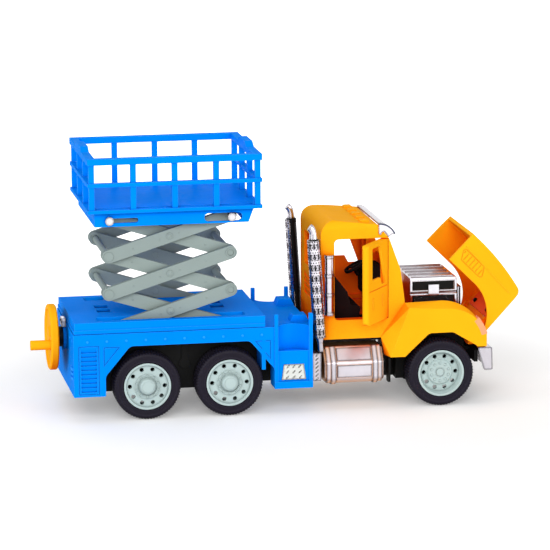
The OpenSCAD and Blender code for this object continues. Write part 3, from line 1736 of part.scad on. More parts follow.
module tank_outline() {
  y0 = in_w + wall_t / 2 - tank_d;
  y1 = in_w + wall_t / 2;
  z1 = tank_z + tank_h;
  rounded(tank_r)
    polygon([
      [y0, tank_z], [y1 - tank_r, tank_z], [y1, tank_z + tank_r], [y1, z1 - tank_slant[1]],
      [y1 - tank_slant[0], z1], [y0, z1]
    ]);
}

module fuel_tanks() {
  x0 = cab_x + tank_x;
  x1 = x0 + tank_len;
  color(chrome) placed()
    both_sides() {
      along_x(x0 + tank_cap, x1 - tank_cap)
        tank_outline();
      along_x(x0, x1)
        offset(delta = -tank_cap)
          tank_outline();
      for (x = [x0 + strap_x, x1 - strap_x - strap_size[1]])
        intersection() {
          along_x(x, x + strap_size[1])
            offset(delta = strap_size[0])
              tank_outline();
          block(x0, x1, half_w - tank_d, half_w, tank_z - over, tank_z + tank_h);
        }
    }
}

module tank_steps() {
  y1 = in_w + wall_t / 2;
  color(chrome) placed()
    both_sides()
      along_y(y1 - tank_step[1], y1)
        translate([low_deck_x1 + seat_gap, tank_step_z])
          rounded(edge_r / 2)
            square([tank_step[0], tank_step[2]]);
}

// Places a piece on the leaning axis of the right exhaust
module at_stack() {
  translate([cab_x - stack_back, -stack_y, stack_z])
    rotate([0, -stack_lean, 0])
      children();
}

module heat_shields() {
  pitch = (shield_span[1] - shield_span[0]) / shield_rows;
  color(chrome) placed()
    both_sides()
      at_stack()
        difference() {
          rod_z(0, 0, shield_r, shield_span[0], shield_span[1]);
          rod_z(0, 0, shield_r - shield_t, shield_span[0] - over, shield_span[1] + over);
          rotate([0, 0, -shield_turn])
            block(-2 * shield_r, 2 * shield_r, shield_r / 3, 2 * shield_r, shield_span[0] - over,
              shield_span[1] + over);
          for (i = [0 : shield_rows - 1])
            for (a = [-2 : 2])
              rotate([0, 0, a * slot_step - shield_turn])
                translate([-shield_t / 2, -shield_r - over, shield_span[0] + pitch * (i + 1 / 4)])
                  cube([shield_t, shield_r, pitch / 2]);
        }
}

module exhaust_pipes() {
  ring_r = shield_r - shield_t;
  color(black) placed()
    both_sides()
      at_stack() {
        rod_z(0, 0, pipe_r, shield_span[0], stack_len);
        rod_z(0, 0, ring_r, shield_span[0], shield_span[0] + wall_t);
        rod_z(0, 0, ring_r, shield_span[1] - wall_t, shield_span[1]);
      }
}

module exhaust_tips() {
  foot = wall_t * 3 / 2;
  color(chrome) placed()
    both_sides()
      at_stack() {
        rod_z(0, 0, tail_r, 0, shield_span[0] - taper_len);
        translate([0, 0, shield_span[0] - taper_len])
          cylinder(r1 = tail_r, r2 = pipe_r, h = taper_len);
        translate([0, 0, stack_len]) {
          cylinder(r1 = pipe_r, r2 = tip_r, h = foot);
          translate([-tip_bend_r, 0, foot])
            rotate([90, 0, 0])
              rotate_extrude(angle = tip_bend)
                translate([tip_bend_r, 0])
                  circle(r = tip_r);
        }
      }
}

module air_cleaners() {
  pitch = (cleaner_z[1] - cleaner_z[0] - band_h) / (band_count - 1);
  r1 = cleaner_r + band_t;
  color(chrome) placed()
    both_sides()
      translate([cab_x + cleaner_x, -cab_half - r1, cleaner_z[0]]) {
        cylinder(r = cleaner_r, h = cleaner_z[1] - cleaner_z[0]);
        for (i = [0 : band_count - 1])
          translate([0, 0, pitch * i])
            cylinder(r = r1, h = band_h);
      }
}

module mudflaps() {
  x = cab_front + fender_rear + wall_t + flap_t;
  y1 = in_w + wall_t / 2;
  color(black) placed()
    both_sides()
      along_x(x, x + flap_t)
        translate([y1 - tyre_w / 2, flap_z])
          rounded(edge_r)
            square([tyre_w / 2, fender_z0 - seat_gap - flap_z]);
}

chassis();
bed_body();
bed_deck();
step_plates();
crank_bearing();
cab_shell();
front_body();
cab_interior();
steering_wheel();
sun_visor();
exhaust_pipes();
exhaust_tips();
heat_shields();
air_cleaners();
fuel_tanks();
tank_steps();
engine();
bumper();
head_lamps();
mudflaps();
door_right();
door_left();
hood();
grille();
crank_wheel();
crank_shaft();
arms_1_outer();
arms_1_inner();
arms_2_outer();
arms_2_inner();
arms_3_outer();
arms_3_inner();
platform_pins_front();
platform_pins_rear();
platform_floor();
platform_rails();
axle_1();
rims_1();
tyres_1();
axle_2();
rims_2();
tyres_2();
axle_3();
rims_3();
tyres_3();
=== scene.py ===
import json
import math
import random

import bpy
from mathutils import Matrix, Vector


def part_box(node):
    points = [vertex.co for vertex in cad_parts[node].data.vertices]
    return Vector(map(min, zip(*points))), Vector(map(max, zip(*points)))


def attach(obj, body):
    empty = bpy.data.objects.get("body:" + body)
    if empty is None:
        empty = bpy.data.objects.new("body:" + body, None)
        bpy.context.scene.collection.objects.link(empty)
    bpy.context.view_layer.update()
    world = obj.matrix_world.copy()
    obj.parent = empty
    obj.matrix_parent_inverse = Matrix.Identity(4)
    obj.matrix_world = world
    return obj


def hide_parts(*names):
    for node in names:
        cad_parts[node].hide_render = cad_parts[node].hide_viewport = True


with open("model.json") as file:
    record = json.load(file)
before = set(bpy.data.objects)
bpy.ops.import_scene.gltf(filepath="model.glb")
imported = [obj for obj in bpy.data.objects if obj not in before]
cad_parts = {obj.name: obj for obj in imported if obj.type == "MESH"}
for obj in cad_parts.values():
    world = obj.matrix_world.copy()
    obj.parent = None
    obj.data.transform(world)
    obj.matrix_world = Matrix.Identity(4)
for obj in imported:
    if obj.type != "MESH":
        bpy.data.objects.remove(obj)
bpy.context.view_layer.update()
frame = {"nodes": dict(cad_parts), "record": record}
nodes = frame["nodes"]
scene = bpy.context.scene

MM = 0.001
DECK_SETBACK = 0.4
DECK_LO, DECK_HI = (Vector(c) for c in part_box("bed_deck"))
REAR_X = DECK_LO.x - DECK_SETBACK * MM
MID_Y = (DECK_LO.y + DECK_HI.y) / 2
SIDES = (-1, 1)
REARWARD, UPWARD = (-1, 0, 0), (0, 0, 1)
QUARTER = math.pi / 2


def at(x, y, z):
    """A point in millimetres: x from the bed's rear face, y from the mid plane, z from the ground."""
    return Vector((REAR_X + x * MM, MID_Y + y * MM, z * MM))


def span(node):
    """Lowest and highest x, y and z of a node at rest, in the same millimetres."""
    lo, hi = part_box(node)
    return [((a - o) / MM, (b - o) / MM) for a, b, o in zip(lo, hi, (REAR_X, MID_Y, 0.0))]


# Materials

MATERIALS = {}
BEVEL_SAMPLES, CREASE_SAMPLES = 4, 6
# Agreement of the softened normal with the face's own: full painted edge highlight, full painted dark
# outline, neither
EDGE_FULL, OUTLINE_FULL, EDGE_GONE = 0.86, 0.95, 0.995
# Ends of the noise's usual range, and the detail of the noise behind grain and waves
NOISE_LO, NOISE_HI, GRAIN_DETAIL = 0.3, 0.7, 2.0
# Moulded plastic: softened edge in millimetres, scale and detail of its shades and mottling, and their range
MOULD_EDGE, GRAIN_STRENGTH, COAT_ROUGH = 0.35, 0.5, 0.15
SHADE_NOISE, SHADES = (38.0, 2.0), (0.95, 1.03)
MOTTLE_NOISE, MOTTLE = (240.0, 4.0), 0.05
# Plated plastic: softened edge in millimetres, its waves, and its haze with the shade and roughness it gives
PLATE_EDGE, WAVE_SCALE, WAVE_STRENGTH = 0.4, 300.0, 0.6
HAZE_NOISE, HAZE_SHADE = (170.0, 5.0, 0.6), 0.9
HAZE_LO, HAZE_HI, HAZE_ROUGH = 0.35, 0.8, 0.08


def link(tree, a, b):
    tree.links.new(a, b)


def new_material(name):
    """A material with an empty tree: the material, the tree and the surface socket of its output."""
    mat = bpy.data.materials.new(name)
    mat.use_nodes = True
    tree = mat.node_tree
    tree.nodes.clear()
    out = tree.nodes.new("ShaderNodeOutputMaterial")
    return mat, tree, out.inputs["Surface"]


def object_coords(tree):
    return tree.nodes.new("ShaderNodeTexCoord").outputs["Object"]


def new_plastic(name):
    """Adds a material to the list and returns its tree, shader and coordinates."""
    mat, tree, surface = new_material(name)
    bsdf = tree.nodes.new("ShaderNodeBsdfPrincipled")
    link(tree, bsdf.outputs["BSDF"], surface)
    MATERIALS[name] = mat
    return tree, bsdf, object_coords(tree)


def noise(tree, coords, scale, detail, rough=0.5):
    n = tree.nodes.new("ShaderNodeTexNoise")
    n.inputs["Scale"].default_value = scale
    n.inputs["Detail"].default_value = detail
    n.inputs["Roughness"].default_value = rough
    link(tree, coords, n.inputs["Vector"])
    return n.outputs["Fac"]


def ramp(tree, fac, stops):
    """Colours between two stops, each a position and a colour."""
    r = tree.nodes.new("ShaderNodeValToRGB")
    for e, (pos, col) in zip(r.color_ramp.elements, stops):
        e.position = pos
        e.color = (*col, 1)
    link(tree, fac, r.inputs["Fac"])
    return r.outputs["Color"]


def blend(tree, fac, a, b):
    """Colour socket a where fac is 0, colour b where it is 1."""
    m = tree.nodes.new("ShaderNodeMix")
    m.data_type = "RGBA"
    link(tree, fac, m.inputs["Factor"])
    link(tree, a, m.inputs["A"])
    m.inputs["B"].default_value = (*b, 1)
    return m.outputs["Result"]


def grey(v):
    return (v, v, v)


def tint(rgb, k):
    return tuple(max(0.0, min(1.0, c * k)) for c in rgb)


def soft_edges(tree, radius):
    bevel = tree.nodes.new("ShaderNodeBevel")
    bevel.samples = BEVEL_SAMPLES
    bevel.inputs["Radius"].default_value = radius * MM
    return bevel.outputs["Normal"]


def edge_mask(tree, normal, full):
    """1 along edges, where highlights and dark reflections are painted: how far the softened normal leans
    away from the face's own.
    """
    geo = tree.nodes.new("ShaderNodeNewGeometry")
    dot = tree.nodes.new("ShaderNodeVectorMath")
    dot.operation = "DOT_PRODUCT"
    link(tree, normal, dot.inputs[0])
    link(tree, geo.outputs["Normal"], dot.inputs[1])
    return ramp(tree, dot.outputs["Value"], [(full, grey(1.0)), (EDGE_GONE, grey(0.0))])


def crease_mask(tree, reach, closed, open_air):
    """Mask for the painted shade and reflections in corners and hollows: from 1 at the openness closed to 0
    at open_air, seen within reach.
    """
    ao = tree.nodes.new("ShaderNodeAmbientOcclusion")
    ao.samples = CREASE_SAMPLES
    ao.inputs["Distance"].default_value = reach * MM
    return ramp(tree, ao.outputs["AO"], [(closed, grey(1.0)), (open_air, grey(0.0))])


def grained(tree, coords, normal, bsdf, scale, depth, strength):
    bump = tree.nodes.new("ShaderNodeBump")
    bump.inputs["Strength"].default_value = strength
    bump.inputs["Distance"].default_value = depth * MM
    link(tree, noise(tree, coords, scale, GRAIN_DETAIL), bump.inputs["Height"])
    link(tree, normal, bump.inputs["Normal"])
    link(tree, bump.outputs["Normal"], bsdf.inputs["Normal"])


def moulded(name, rgb, painted_shade, edge, crease, rough, grain, grain_scale=2600.0, specular=0.002, coat=0.0):
    """Moulded plastic: painted highlights along edges, painted shade in hollows, mottling and fine grain."""
    tree, bsdf, coords = new_plastic(name)
    normal = soft_edges(tree, MOULD_EDGE)
    shades = [(NOISE_LO, tint(rgb, SHADES[0])), (NOISE_HI, tint(rgb, SHADES[1]))]
    base = ramp(tree, noise(tree, coords, *SHADE_NOISE), shades)
    # Painted highlight along the edges
    base = blend(tree, edge_mask(tree, normal, EDGE_FULL), base, edge)
    # Painted shade in corners and hollows
    base = blend(tree, crease_mask(tree, *crease), base, painted_shade)
    link(tree, base, bsdf.inputs["Base Color"])
    gloss = [(NOISE_LO, grey(rough - MOTTLE)), (NOISE_HI, grey(rough + MOTTLE))]
    link(tree, ramp(tree, noise(tree, coords, *MOTTLE_NOISE), gloss), bsdf.inputs["Roughness"])
    grained(tree, coords, normal, bsdf, grain_scale, grain, GRAIN_STRENGTH)
    bsdf.inputs["Specular IOR Level"].default_value = specular
    bsdf.inputs["Coat Weight"].default_value = coat
    bsdf.inputs["Coat Roughness"].default_value = COAT_ROUGH


def plated(name, rgb, outline, hollow, rough=0.13, wave=0.05, line=1.4, crease=(3.0, 0.2, 0.6)):
    """Plated plastic: a hazy, slightly wavy mirror with painted dark reflections along its outlines and
    painted shade and warm reflections in its hollows.
    """
    tree, bsdf, coords = new_plastic(name)
    normal = soft_edges(tree, PLATE_EDGE)
    haze = noise(tree, coords, *HAZE_NOISE)
    base = ramp(tree, haze, [(NOISE_LO, tint(rgb, HAZE_SHADE)), (NOISE_HI, rgb)])
    # Painted shade and warm reflections in the hollows
    base = blend(tree, crease_mask(tree, *crease), base, hollow)
    # Painted dark reflections along the outlines
    base = blend(tree, edge_mask(tree, soft_edges(tree, line), OUTLINE_FULL), base, outline)
    link(tree, base, bsdf.inputs["Base Color"])
    gloss = [(HAZE_LO, grey(rough)), (HAZE_HI, grey(rough + HAZE_ROUGH))]
    link(tree, ramp(tree, haze, gloss), bsdf.inputs["Roughness"])
    grained(tree, coords, normal, bsdf, WAVE_SCALE, wave, WAVE_STRENGTH)
    bsdf.inputs["Metallic"].default_value = 1.0


BLUE = (0.0, 0.235, 0.92)
YELLOW, YELLOW_HIGHLIGHT = (1.0, 0.43, 0.008), (1.0, 0.55, 0.03)
ARM_GREY = (0.26, 0.315, 0.3)
RIM_GREY = (0.43, 0.53, 0.52)
BLACK = (0.004, 0.004, 0.004)
TYRE_BLACK = (0.011, 0.009, 0.016)
LENS = (0.93, 0.34, 0.16)
CHROME, CHROME_DARK_REFLECTION = (0.66, 0.63, 0.68), (0.04, 0.036, 0.045)
# Reach in millimetres and the openness at which the painted shade is full and gone
CORNERS, HOLLOWS, DETAIL = (7.0, 0.2, 0.8), (50.0, 0.2, 0.64), (1.6, 0.35, 0.88)
ROOM, SHUT, TANK_TOP = (80.0, 0.3, 0.62), (80.0, 0.6, 0.93), (22.0, 0.42, 0.92)

# Moulded: colour, painted shade in hollows and painted highlight on edges, reach of the hollows, roughness
# and depth of the grain
moulded("blue_plastic", BLUE, (0.0, 0.08, 0.42), (0.03, 0.36, 1.0), CORNERS, 0.46, 0.016)
# Darker blue for the floors of the deck's pockets: painted shade
moulded("blue_in_shade", (0.0, 0.09, 0.4), (0.0, 0.05, 0.25), BLUE, CORNERS, 0.5, 0.016)
# Lighter blue for the rivets and slats: painted highlight
moulded("blue_highlight", (0.015, 0.31, 1.0), BLUE, (0.06, 0.45, 1.0), DETAIL, 0.46, 0.01)
# Orange-red for behind the grille: painted shade on yellow plastic
moulded("orange_in_shade", (0.95, 0.1, 0.02), (0.6, 0.03, 0.0), (1.0, 0.2, 0.05), DETAIL, 0.4, 0.008)
moulded("yellow_plastic", YELLOW, (1.0, 0.14, 0.0), YELLOW_HIGHLIGHT, HOLLOWS, 0.4, 0.008)
# The same yellow with painted shade reaching further, for the doors and the cab
moulded("yellow_shut", YELLOW, (1.0, 0.13, 0.005), YELLOW_HIGHLIGHT, SHUT, 0.4, 0.008)
moulded("yellow_cab", YELLOW, (1.0, 0.09, 0.0), YELLOW_HIGHLIGHT, ROOM, 0.4, 0.008)
moulded("grey_plastic", ARM_GREY, tint(ARM_GREY, 0.5), tint(ARM_GREY, 1.15), CORNERS, 0.45, 0.02)
moulded("black_plastic", BLACK, grey(0.001), grey(0.012), CORNERS, 0.5, 0.02, specular=0.1)
moulded("dark_interior", (0.014, 0.008, 0.008), grey(0.002), (0.03, 0.02, 0.02), CORNERS, 0.55, 0.03)
moulded("lamp_lens", LENS, (0.8, 0.12, 0.05), tint(LENS, 1.3), CORNERS, 0.15, 0.006, coat=0.4)
moulded("rim_grey", RIM_GREY, (0.06, 0.085, 0.08), tint(RIM_GREY, 1.25), DETAIL, 0.4, 0.014)
moulded("tyre", TYRE_BLACK, grey(0.001), tint(TYRE_BLACK, 2.6), DETAIL, 0.45, 0.05, 1500.0, 0.1)
# Plated: colour, painted dark reflection on the outlines and painted shade and reflections in hollows,
# roughness and depth of the waves
plated("chrome_plastic", CHROME, CHROME_DARK_REFLECTION, (0.45, 0.2, 0.06))
plated("chrome_dark", (0.07, 0.08, 0.12), (0.03, 0.03, 0.05), (0.03, 0.03, 0.04), line=0.3)
# Tank and engine chrome: warm painted reflections of the yellow in their hollows
plated("tank_chrome", CHROME, CHROME_DARK_REFLECTION, (0.85, 0.4, 0.12), 0.3, crease=TANK_TOP)
plated("engine_chrome", (0.68, 0.66, 0.7), (0.1, 0.08, 0.08), (0.3, 0.14, 0.05), line=0.35)
plated("tread_plate", (0.84, 0.87, 0.83), (0.05, 0.05, 0.045), (0.2, 0.2, 0.18), 0.2)
plated("steel", (0.56, 0.55, 0.57), (0.2, 0.19, 0.19), (0.12, 0.12, 0.12), 0.28, 0.03)

# Nodes whose finish isn't the plain one of their slot: painted shade reaching further in the cab and on the
# doors, warm painted reflections in the hollows of the engine and the tanks
FINISHES = {
    "engine": "engine_chrome",
    "fuel_tanks": "tank_chrome",
    "cab_shell": "yellow_cab",
    "door_left": "yellow_shut",
    "door_right": "yellow_cab",
}
for row in frame["record"]["subparts"]:
    obj = nodes[row["node"]]
    obj.data.materials.clear()
    obj.data.materials.append(MATERIALS[FINISHES.get(row["node"], row["material_slot"])])


# Mesh helpers

SHARP = math.radians(35)


class Shape:
    """Vertices and faces of one piece, gathered from several simple forms. Sizes are in millimetres."""

    def __init__(self):
        self.verts, self.faces = [], []

    def add(self, verts, faces, place):
        k = len(self.verts)
        self.verts += [place @ (Vector(v) * MM) for v in verts]
        self.faces += [tuple(k + i for i in f) for f in faces]

    def turned(self, profile, place, count, closed=False, reach=None):
        """A profile of (radius, height) turned about the local Z axis.

        reach(i, k) may give another radius for point i of the profile at step k."""
        n = len(profile)
        verts, faces = [], []
        for k in range(count):
            a = 2 * math.pi * k / count
            for i, (r, h) in enumerate(profile):
                rr = reach(i, k) if reach else r
                verts.append((rr * math.cos(a), rr * math.sin(a), h))
        for k in range(count):
            m = (k + 1) % count
            for i in range(n if closed else n - 1):
                j = (i + 1) % n
                faces.append((k * n + i, m * n + i, m * n + j, k * n + j))
        if not closed:
            faces.append(tuple(k * n for k in reversed(range(count))))
            faces.append(tuple(k * n + n - 1 for k in range(count)))
        self.add(verts, faces, place)

    def prism(self, outline, place, height, taper=1.0):
        """A flat outline raised along the local Z axis, its top shrunk by taper."""
        n = len(outline)
        verts = [(x, y, 0) for x, y in outline] + [(x * taper, y * taper, height) for x, y in outline]
        faces = [tuple(range(n - 1, -1, -1)), tuple(range(n, 2 * n))]
        faces += [(i, (i + 1) % n, n + (i + 1) % n, n + i) for i in range(n)]
        self.add(verts, faces, place)

    def slab(self, outline, y_hi, y_lo):
        """A flat outline of clockwise (x, z) points between two y values, all as in at()."""
        n = len(outline)
        verts = [(x, y, z) for y in (y_hi, y_lo) for x, z in outline]
        faces = [tuple(range(n)), tuple(range(2 * n - 1, n - 1, -1))]
        faces += [(n + i, n + (i + 1) % n, (i + 1) % n, i) for i in range(n)]
        self.add(verts, faces, Matrix.Translation(at(0, 0, 0)))

    def piece(self, name, body, slot, replaces=(), finish=None):
        mesh = bpy.data.meshes.new(name)
        mesh.from_pydata([v[:] for v in self.verts], [], self.faces)
        mesh.validate()
        mesh.polygons.foreach_set("use_smooth", [True] * len(mesh.polygons))
        mesh.set_sharp_from_angle(angle=SHARP)
        mesh.update()
        obj = bpy.data.objects.new(name, mesh)
        scene.collection.objects.link(obj)
        obj.data.materials.append(MATERIALS[finish or slot])
        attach(obj, body)
        if replaces:
            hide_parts(*replaces)


def facing(point, direction, turn=0.0):
    """Places a form at a point with its local Z along a direction."""
    q = Vector(direction).to_track_quat("Z", "Y")
    return Matrix.Translation(point) @ q.to_matrix().to_4x4() @ Matrix.Rotation(turn, 4, "Z")


def on_side(x, side, y, z, turn=0.0):
    """Places a form on a face of the near or the far side, y from the mid plane, facing outward."""
    return facing(at(x, side * y, z), (0, side, 0), turn)


def box(w, h):
    return [(-w / 2, -h / 2), (w / 2, -h / 2), (w / 2, h / 2), (-w / 2, h / 2)]


def dome(r, h):
    """Profile of a shallow rounded button."""
    steps, foot, tip = 4, 0.35, 0.04
    arcs = [QUARTER * i / steps for i in range(steps)]
    curve = [(r * math.cos(a), h * (foot + (1 - foot) * math.sin(a))) for a in arcs]
    return [(r, 0.0)] + curve + [(r * tip, h)]


def disc(r, h, chamfer):
    """Profile of a flat button with a chamfered edge."""
    return [(r, 0.0), (r, h - chamfer), (r - chamfer, h), (chamfer / 2, h)]


def band(r0, r1, h0, h1):
    """Closed section of a raised ring with a rounded top."""
    shoulder = 0.7
    mid, edge = (r0 + r1) / 2, (r1 - r0) / 6
    top = h0 + (h1 - h0) * shoulder
    return [(r0, h0), (r1, h0), (r1, top), (mid + edge, h1), (mid - edge, h1), (r0, top)]


# Wheels

TYRE_W = 13.6
# Lugs round the tread, steps of one lug with its gap, and the gap's depth
LUGS, LUG_STEPS, LUG_DEPTH = 70, 4, 0.4
# Columns: depth below the tread, distance from the wheel's face, share of the lug depth cut between lugs
HALF_TYRE = [
    (5.6, 0.7, 0), (5.3, 0.25, 0), (5.0, 0.0, 0), (4.6, 0.0, 0), (4.3, 0.22, 0), (2.5, 0.16, 0),
    (2.3, 0.0, 0), (2.0, 0.0, 0), (1.5, 0.02, 0.2), (1.0, 0.1, 1), (0.45, 0.35, 1), (0.1, 0.85, 1),
    (0.0, 1.4, 1), (0.0, 4.4, 1), (0.4, 4.6, 0), (0.4, 5.2, 0), (0.0, 5.4, 1), (0.0, 6.6, 1),
]
TYRE = HALF_TYRE + [(d, TYRE_W - h, s) for d, h, s in reversed(HALF_TYRE)]
RIB_ARCS, RIBS, RIB_STEP = 4, 13, math.radians(3.2)
# Ribs on the tyre's side: depth below the tread, size, foot below the wheel's face, height
RIB_DEPTH, RIB_SIZE, RIB_FOOT, RIB_RISE = 3.4, (1.2, 0.3), 0.4, 0.36
BOLTS, BOLT_RISE, BOLT_SIDES = 10, 0.5, 12
# Depth of the centre plate below the wheel's face, ring and size of the bolts
REAR_RIM = {"plate": 0.9, "ring": 6.1, "bolt": 0.5}
FRONT_RIM = {"plate": 3.0, "ring": 5.0, "bolt": 0.72}
# Raised rings on the plates: inner and outer radius, and rise
REAR_RINGS, REAR_RING_SIDES = ((5.3, 5.7, 0.35), (6.75, 7.05, 0.2)), 48
FRONT_RING, FRONT_RING_SIDES = (2.5, 2.75, 0.15), 40
# Caps: radius, height and chamfer, and how far the rear hub stands out of the wheel's face
HUB_CAP, PLATE_CAP, CAP_SIDES = (3.1, 0.3, 0.2), (2.0, 0.4, 0.15), 40
HUB_TIP = 1.8
AXLES, FRONT_AXLE = "123", "3"


def tyre(shape, place, radius):
    """Carcass with raised rings on its sides, and lugs staggered between the two halves of the tread."""
    half_step = LUG_STEPS // 2

    def reach(i, k):
        depth, h, share = TYRE[i]
        shift = 0 if h < TYRE_W / 2 else half_step
        cut = (k + shift) % LUG_STEPS >= half_step
        return radius - depth - (LUG_DEPTH * share if cut else 0.0)

    shape.turned([(radius - d, h) for d, h, _ in TYRE], place, LUGS * LUG_STEPS, True, reach)
    foot = Matrix.Translation(Vector((radius - RIB_DEPTH, 0, TYRE_W - RIB_FOOT)) * MM)
    for arc in range(RIB_ARCS):
        for i in range(RIBS):
            a = 2 * math.pi * (arc + 0.5) / RIB_ARCS + (i - RIBS / 2) * RIB_STEP
            shape.prism(box(*RIB_SIZE), place @ Matrix.Rotation(a, 4, "Z") @ foot, RIB_RISE)


def ring(shape, place, plate, size, sides):
    r0, r1, rise = size
    shape.turned(band(r0, r1, plate, plate + rise), place, sides, True)


def rim_trim(shape, place, rim, rear):
    """Bolts and rings on the rim's centre plate, and the cap on it or on the rear hub."""
    plate = TYRE_W - rim["plate"]
    for i in range(BOLTS):
        a = 2 * math.pi * (i + 0.5) / BOLTS
        spot = Vector((rim["ring"] * math.cos(a), rim["ring"] * math.sin(a), plate)) * MM
        shape.turned(dome(rim["bolt"], BOLT_RISE), place @ Matrix.Translation(spot), BOLT_SIDES)
    if rear:
        for size in REAR_RINGS:
            ring(shape, place, plate, size, REAR_RING_SIDES)
        tip = Matrix.Translation((0, 0, (TYRE_W + HUB_TIP) * MM))
        shape.turned(disc(*HUB_CAP), place @ tip, CAP_SIDES)
    else:
        middle = Matrix.Translation((0, 0, plate * MM))
        shape.turned(disc(*PLATE_CAP), place @ middle, CAP_SIDES)
        ring(shape, place, plate, FRONT_RING, FRONT_RING_SIDES)


for key in AXLES:
    (x0, x1), (_, face_y), (z0, z1) = span("tyres_" + key)
    rear = key != FRONT_AXLE
    tread, trim = Shape(), Shape()
    for side in SIDES:
        hub = at((x0 + x1) / 2, side * (face_y - TYRE_W), (z0 + z1) / 2)
        wheel = Matrix.Translation(hub) @ Matrix.Rotation(-side * QUARTER, 4, "X")
        tyre(tread, wheel, (z1 - z0) / 2)
        rim_trim(trim, wheel, REAR_RIM if rear else FRONT_RIM, rear)
    tread.piece("tyre_tread_" + key, "wheels_" + key, "tyre", ("tyres_" + key,))
    trim.piece("wheel_bolts_" + key, "wheels_" + key, "rim_grey")

# Bed

SIDE_Y = 38.0
RIVET, RIVET_SIDES = dome(0.75, 0.45), 12
RIVET_Z, RIVET_X, RIVET_STEP, RIVET_COUNT = 44.7, 7.6, 10.65, 10
REAR_RIVETS_Y = (-33, -24, 24, 33)
SLAT_Y, SLAT_Z = 31.5, (24.0, 26.6, 29.2)
SLAT, SLAT_RISE, SLAT_TAPER = (1.3, 7.0), 0.6, 0.9

rivets = Shape()
for side in SIDES:
    for i in range(RIVET_COUNT):
        rivets.turned(RIVET, on_side(RIVET_X + RIVET_STEP * i, side, SIDE_Y, RIVET_Z), RIVET_SIDES)
    for z in SLAT_Z:
        spot = facing(at(0, side * SLAT_Y, z), REARWARD, QUARTER)
        rivets.prism(box(*SLAT), spot, SLAT_RISE, SLAT_TAPER)
for y in REAR_RIVETS_Y:
    rivets.turned(RIVET, facing(at(0, y, RIVET_Z), REARWARD), RIVET_SIDES)
# In a lighter blue: painted highlight on the rivets and slats
rivets.piece("bed_rivets", "truck", "blue_plastic", finish="blue_highlight")

DECK_Z, POCKET_X, POCKET_Y = 55.1, (20.8, 83.9), 5.8
POCKET_DEPTH, POCKET_W, POCKET_FLOOR, POCKET_TAPER = 1.0, 7.4, 0.12, 0.97
# Thin darker blue sheets on the pocket floors: painted shade
pockets = Shape()
for x in POCKET_X:
    for side in SIDES:
        spot = facing(at(x, side * POCKET_Y, DECK_Z - POCKET_DEPTH), UPWARD)
        pockets.prism(box(POCKET_W, POCKET_W), spot, POCKET_FLOOR, POCKET_TAPER)
pockets.piece("deck_pocket_shade_sheets", "truck", "blue_plastic", finish="blue_in_shade")

# Outline of the bracket: across the bed and above its foot
BRACKET = [(-4.4, 0.0), (4.4, 0.0), (4.4, 3.4), (3.2, 4.6), (-3.2, 4.6), (-4.4, 3.4)]
BRACKET_Z, BRACKET_T = 46.6, 2.2
BRACKET_BOLT, BRACKET_BOLT_Y, BRACKET_BOLT_UP = dome(0.6, 0.4), 3.0, 2.6
bracket = Shape()
bracket.prism([(z, y) for y, z in BRACKET], facing(at(0, 0, BRACKET_Z), REARWARD, QUARTER), BRACKET_T)
for side in SIDES:
    spot = at(-BRACKET_T, side * BRACKET_BOLT_Y, BRACKET_Z + BRACKET_BOLT_UP)
    bracket.turned(BRACKET_BOLT, facing(spot, REARWARD), BOLT_SIDES)
bracket.piece("crank_bracket", "truck", "steel")

# Raised marks on the chrome steps

MARK = [(-1.35, 0.0), (-0.6, -0.42), (0.6, -0.42), (1.35, 0.0), (0.6, 0.42), (-0.6, 0.42)]
MARK_RISE, MARK_TAPER, MARK_TURN = 0.35, 0.6, math.radians(45)
# Spacing of the marks on the tread plates, and how much each row draws together
COLUMN, ROW, DRAW_IN = 3.7, 3.0, 0.06
PLATE_ROWS, PLATE_COLUMNS = (0, 1, 2), (-1, 0, 1)
STEP_MARKS = 7


def marks(shape, spots, face_y):
    for side in SIDES:
        for x, z in spots:
            shape.prism(MARK, on_side(x, side, face_y, z, MARK_TURN), MARK_RISE, MARK_TAPER)


(x0, x1), (_, face_y), (z0, z1) = span("step_plates")
plate_spots = []
for row in PLATE_ROWS:
    for col in PLATE_COLUMNS:
        x = (x0 + x1) / 2 + col * COLUMN * (1 - DRAW_IN * row)
        plate_spots.append((x, (z0 + z1) / 2 + (row - 1) * ROW))
plate_marks = Shape()
marks(plate_marks, plate_spots, face_y)
plate_marks.piece("tread_marks", "truck", "tread_plate")

(x0, x1), (_, face_y), (z0, z1) = span("tank_steps")
step_spots = [((x0 + x1) / 2, z0 + (z1 - z0) * (i + 0.5) / STEP_MARKS) for i in range(STEP_MARKS)]
step_marks = Shape()
marks(step_marks, step_spots, face_y)
step_marks.piece("tank_step_marks", "truck", "tread_plate")

# Tank panels

# Middle of the tank along the truck, its side face, and the direction of its slanted face in y and z
TANK_MID, TANK_FACE_Y, TANK_SLANT = 155.3, 37.0, (0.814, 0.581)
FRONT_PANEL, FRONT_Z = (19.6, 7.0), 21.9
SLANT_PANEL, SLANT_Y, SLANT_Z = (19.6, 8.0), 34.0, 30.8
TANK_RISE, TANK_TAPER = 0.4, 0.97
tank_panels = Shape()
for side in SIDES:
    front = on_side(TANK_MID, side, TANK_FACE_Y, FRONT_Z)
    slant = facing(at(TANK_MID, side * SLANT_Y, SLANT_Z), (0, side * TANK_SLANT[0], TANK_SLANT[1]))
    tank_panels.prism(box(*FRONT_PANEL), front, TANK_RISE, TANK_TAPER)
    tank_panels.prism(box(*SLANT_PANEL), slant, TANK_RISE, TANK_TAPER)
tank_panels.piece("tank_panels", "truck", "chrome_plastic", finish="tank_chrome")

# Raised black dots on the heat shields: painted shade of their perforations

STACK_FOOT, STACK_LEAN = (137.0, 34.0, 33.0), math.radians(-3.5)
# Radius, lowest and highest point along the stack, and the direction of the shield's middle in degrees
SHIELD_R, SHIELD_LO, SHIELD_HI, SHIELD_MIDDLE = 3.6, 8.2, 62.5, 225.0
